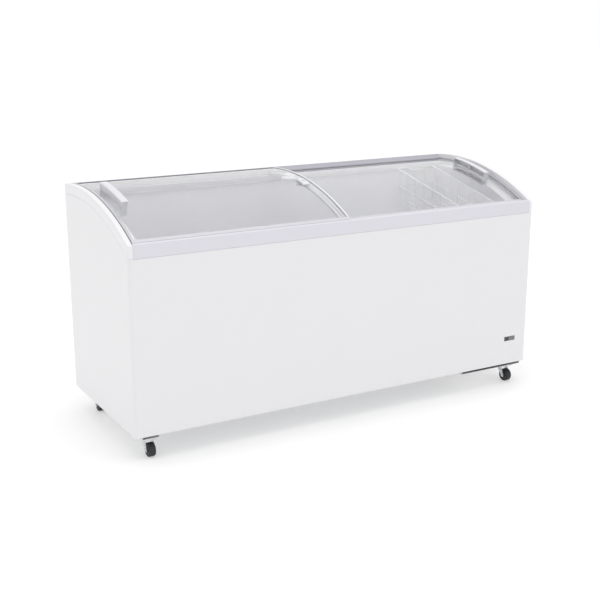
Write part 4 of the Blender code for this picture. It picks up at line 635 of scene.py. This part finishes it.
# The castors. Profiles are (radius, distance from the wheel's side) pairs, for one half of the wheel.
castorSettings = {
    "places": ("front_left", "rear_left", "front_right", "rear_right"),
    "halfWidth": 0.013,
    "sides": 56,
    "tyre": [(0.0178, 0.0008), (0.0190, 0.0), (0.0210, 0.0), (0.0234, 0.0010), (0.0246, 0.0028),
             (0.0250, 0.0050)],
    "hub": [(0.0043, -0.0008), (0.0078, -0.0008), (0.0088, 0.0004), (0.0094, 0.0032), (0.0150, 0.0036),
            (0.0172, 0.0016), (0.0177, 0.0012)],
    "plate": 0.003,
    "boltInset": 0.008,
    "boltRadius": 0.0055,
    "boltHeight": 0.0038,
    "boltTurn": 0.3,
    "boltLevels": ((1.0, 0.0), (1.0, 0.85), (0.88, 1.0)),
    "boltRound": 0.00033,
    "wheelSmoothAngle": 40.0,
    "sheetRound": (0.0005, 2),
}


def pieceName(place, kind):
    end, side = place.split("_")
    return end + side.capitalize() + kind.capitalize()


def wheelPiece(kind, place, settings, stands=()):
    low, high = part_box("castor_wheel_" + place)
    centre = tuple((a + b) / 2 for a, b in zip(low, high))
    half = [(radius, inwards - settings["halfWidth"]) for radius, inwards in settings[kind]]
    whole = half + [(radius, -along) for radius, along in reversed(half)]
    bm = bmesh.new()
    addTurned(bm, whole, centre, "X", settings["sides"])
    finished(pieceName(place, kind), meshOf(kind, bm), kind, "wheel_" + place, stands,
             settings["wheelSmoothAngle"])


def circleAt(radius, height, sides):
    turns = [2 * math.pi * step / sides for step in range(sides)]
    return [(radius * math.cos(turn), radius * math.sin(turn), height) for turn in turns]


# Levels are (share of the radius, share of the height) pairs.
def addHead(bm, radius, height, levels, sides):
    addLoft(bm, [circleAt(radius * size, height * reach, sides) for size, reach in levels])


def hexHead(settings):
    bm = bmesh.new()
    addHead(bm, settings["boltRadius"], settings["boltHeight"], settings["boltLevels"], 6)
    return rounded(meshOf("hexHead", bm), settings["boltRound"], 1)


def buildCastors(settings):
    bolts = []
    for place in settings["places"]:
        wheelPiece("tyre", place, settings, ["castor_wheel_" + place])
        wheelPiece("hub", place, settings)
        for kind in ("fork", "plate"):
            dressed(pieceName(place, kind), f"castor_{kind}_{place}", "zinc", *settings["sheetRound"])
        low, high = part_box("castor_plate_" + place)
        inset = settings["boltInset"]
        for x in (low[0] + inset, high[0] - inset):
            for y in (low[1] + inset, high[1] - inset):
                bolts.append(((x, y, high[2] - settings["plate"]), (math.pi, 0.0, settings["boltTurn"])))
    repeated("castorBolts", bolts, hexHead(settings), "zinc", "cabinet")


buildCastors(castorSettings)
print("castors:", len(castorSettings["places"]))


# The machine bay at the right end.
bayPieces = {
    "compressorShell": ("compressor", "black", 0.0012, 2),
    "condenserTubes": ("condenser", "steel", 0.0003, 1),
    "fanShroud": ("fan_shroud", "blackPlastic", 0.0004, 2),
    "fanMotor": ("fan_motor", "steel", 0.0006, 2),
    "dischargePipe": ("discharge_pipe", "copper", 0.0, 1),
    "suctionPipe": ("suction_pipe", "copper", 0.0, 1),
    "filterDrier": ("filter_drier", "copper", 0.0, 1),
}
for name, piece in bayPieces.items():
    dressed(name, *piece)

fanSettings = {"hub": 0.022, "hubSides": 40, "hubEdge": 0.001, "hubDome": 0.004, "tip": 0.085, "blades": 5,
               "root": 0.002, "edge": 0.003, "taper": 0.004, "spread": 0.42, "narrowing": 0.06,
               "thickness": 0.0012, "crown": 0.0015, "steps": 12, "parts": 8}


# A moulded rotor with a domed hub and five twisted blades.
def buildFan(settings):
    low, high = (corner[0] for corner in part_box("fan_blade"))
    y, z = next(joint["pos_m"][1:] for joint in frame["joints"] if joint["child"] == "fan")
    hub = settings["hub"]
    edge = settings["hubEdge"]
    dome = settings["hubDome"]
    root = hub - settings["root"]
    bm = bmesh.new()
    profile = [(nearAxis, low), (hub - edge, low), (hub, low + edge), (hub, high - dome),
               (hub - dome, high - edge), (hub / 2, high), (nearAxis, high)]
    addTurned(bm, profile, (0.0, y, z), "X", settings["hubSides"])
    for index in range(settings["blades"]):
        start = 2 * math.pi * index / settings["blades"]
        rings = []
        for step in range(settings["steps"] + 1):
            share = step / settings["steps"]
            radius = root + (settings["tip"] - root) * share
            spread = settings["spread"] - settings["narrowing"] * share
            inset = settings["edge"] + settings["taper"] * share
            ring = []
            for side, order in ((0, 1), (1, -1)):
                for part in list(range(settings["parts"] + 1))[::order]:
                    along = part / settings["parts"]
                    x = low + inset + (high - low - 2 * inset) * along
                    x += settings["thickness"] * side + settings["crown"] * math.sin(math.pi * along)
                    turn = start + spread * (2 * along - 1)
                    ring.append((x, y + radius * math.cos(turn), z + radius * math.sin(turn)))
            rings.append(ring)
        addLoft(bm, rings)
    finished("fanRotor", meshOf("fanRotor", bm), "blackPlastic", "fan", stands=["fan_blade"])


finSettings = {"pitch": 0.0032, "depth": 0.013, "thickness": 0.00025, "endGap": 0.022, "topGap": 0.015}


def buildFins(settings):
    low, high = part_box("condenser")
    tall = high[2] - low[2] - 2 * settings["topGap"]
    bm = bmesh.new()
    size = (settings["depth"], settings["thickness"], tall, 1.0)
    bmesh.ops.create_cube(bm, size=1.0, matrix=Matrix.Diagonal(size))
    middle = [(a + b) / 2 for a, b in zip(low, high)]
    first, last = low[1] + settings["endGap"], high[1] - settings["endGap"]
    count = int((last - first) / settings["pitch"])
    ys = [first + (last - first) * index / count for index in range(count + 1)]
    places = [((middle[0], y, middle[2]), (0.0, 0.0, 0.0)) for y in ys]
    repeated("condenserFins", places, meshOf("fin", bm), "steel", "cabinet")


screwSettings = {"radius": 0.0036, "height": 0.0020, "sides": 16, "coverInset": 0.010, "grilleInset": 0.014,
                 "levels": ((1.0, 0.0), (1.0, 0.35), (0.85, 0.8), (0.5, 1.0)), "cross": (1.1, 0.22)}


# A pan head standing on the plane Z = 0. The arms of its cross recess are shares of the radius, and
# reach half way down.
def panHead(settings):
    radius, height = settings["radius"], settings["height"]
    bm = bmesh.new()
    addHead(bm, radius, height, settings["levels"], settings["sides"])
    mesh = meshOf("panHead", bm)
    cutters = []
    for long, wide in (settings["cross"], settings["cross"][::-1]):
        bm = bmesh.new()
        size = Matrix.Diagonal((radius * long, radius * wide, height, 1.0))
        bmesh.ops.create_cube(bm, size=1.0, matrix=Matrix.Translation((0, 0, height)) @ size)
        cutters.append(bpy.data.objects.new("crossArm", meshOf("crossArm", bm)))
        bpy.context.scene.collection.objects.link(cutters[-1])
    return rounded(mesh, 0.0, cutters=cutters)


def buildScrews(settings):
    places = []
    low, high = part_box("service_cover")
    inset = settings["coverInset"]
    for x in (low[0] + inset, (low[0] + high[0]) / 2, high[0] - inset):
        for z in (low[2] + inset, high[2] - inset):
            places.append(((x, high[1], z), (-math.pi / 2, 0.0, 0.0)))
    low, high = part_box("side_grille")
    inset = settings["grilleInset"]
    for y in (low[1] + inset, high[1] - inset):
        for z in (low[2] + inset, high[2] - inset):
            places.append(((high[0], y, z), (0.0, math.pi / 2, 0.0)))
    repeated("panelScrews", places, panHead(settings), "zinc", "cabinet")


buildFan(fanSettings)
buildFins(finSettings)
buildScrews(screwSettings)
print("machine bay:", len(bayPieces), "CAD pieces, a rotor, fins and screws")


# The floor, the light and the photograph's viewpoint.
white = (1.0, 1.0, 1.0, 1.0)
floorSettings = {"half": 30.0, "tone": (0.64, 0.64, 0.64), "roughness": 0.75, "reliefStrength": 0.02,
                 "fineScale": 60.0, "glow": 0.36}


# A pale floor that glows a little, as a lit studio floor does, so that its shadows stay soft.
def buildFloor(settings):
    bm = bmesh.new()
    bmesh.ops.create_grid(bm, x_segments=1, y_segments=1, size=settings["half"])
    mesh = meshOf("floor", bm)
    material = coated("paleFloor", settings["tone"], settings["roughness"],
                      reliefStrength=settings["reliefStrength"], fineScale=settings["fineScale"])
    shader = material.node_tree.nodes["Principled BSDF"]
    shader.inputs["Emission Color"].default_value = white
    shader.inputs["Emission Strength"].default_value = settings["glow"]
    mesh.materials.append(material)
    floor = bpy.data.objects.new("floor", mesh)
    bpy.context.scene.collection.objects.link(floor)


lightSettings = {
    "world": 1.0,
    "aim": (0.0, 0.0, 0.4),
    "lamps": {
        "keyLight": {"place": (-3.2, -1.4, 3.4), "size": 2.5, "power": 0.5},
        "topLight": {"place": (0.0, -0.5, 4.2), "size": 2.6, "power": 32.0},
        "fillLight": {"place": (-0.6, -5.0, 0.9), "size": 2.5, "power": 2.5},
    },
}


def buildLight(settings):
    world = bpy.data.worlds.new("studio")
    bpy.context.scene.world = world
    world.use_nodes = True
    background = world.node_tree.nodes["Background"]
    background.inputs["Color"].default_value = white
    background.inputs["Strength"].default_value = settings["world"]
    aim = Vector(settings["aim"])
    for name, values in settings["lamps"].items():
        lamp = bpy.data.lights.new(name, "AREA")
        lamp.size = values["size"]
        lamp.energy = values["power"]
        light = bpy.data.objects.new(name, lamp)
        light.location = values["place"]
        light.rotation_euler = (light.location - aim).to_track_quat("Z", "Y").to_euler()
        bpy.context.scene.collection.objects.link(light)


cameraSettings = {"place": (-2.026, -3.466, 1.475), "azimuth": -29.85, "elevation": 15.19, "lens": 63.85,
                  "sensor": 36.0, "farthest": 200.0}


def buildCamera(settings):
    azimuth = math.radians(settings["azimuth"])
    elevation = math.radians(settings["elevation"])
    level = math.cos(elevation)
    back = Vector((math.sin(azimuth) * level, -math.cos(azimuth) * level, math.sin(elevation)))
    lens = bpy.data.cameras.new("camera")
    lens.lens = settings["lens"]
    lens.sensor_width = settings["sensor"]
    lens.clip_end = settings["farthest"]
    camera = bpy.data.objects.new("camera", lens)
    camera.location = settings["place"]
    camera.rotation_euler = back.to_track_quat("Z", "Y").to_euler()
    bpy.context.scene.collection.objects.link(camera)
    bpy.context.scene.camera = camera


buildFloor(floorSettings)
buildLight(lightSettings)
buildCamera(cameraSettings)
bpy.context.scene.view_settings.view_transform = "Standard"
print("scene: done")
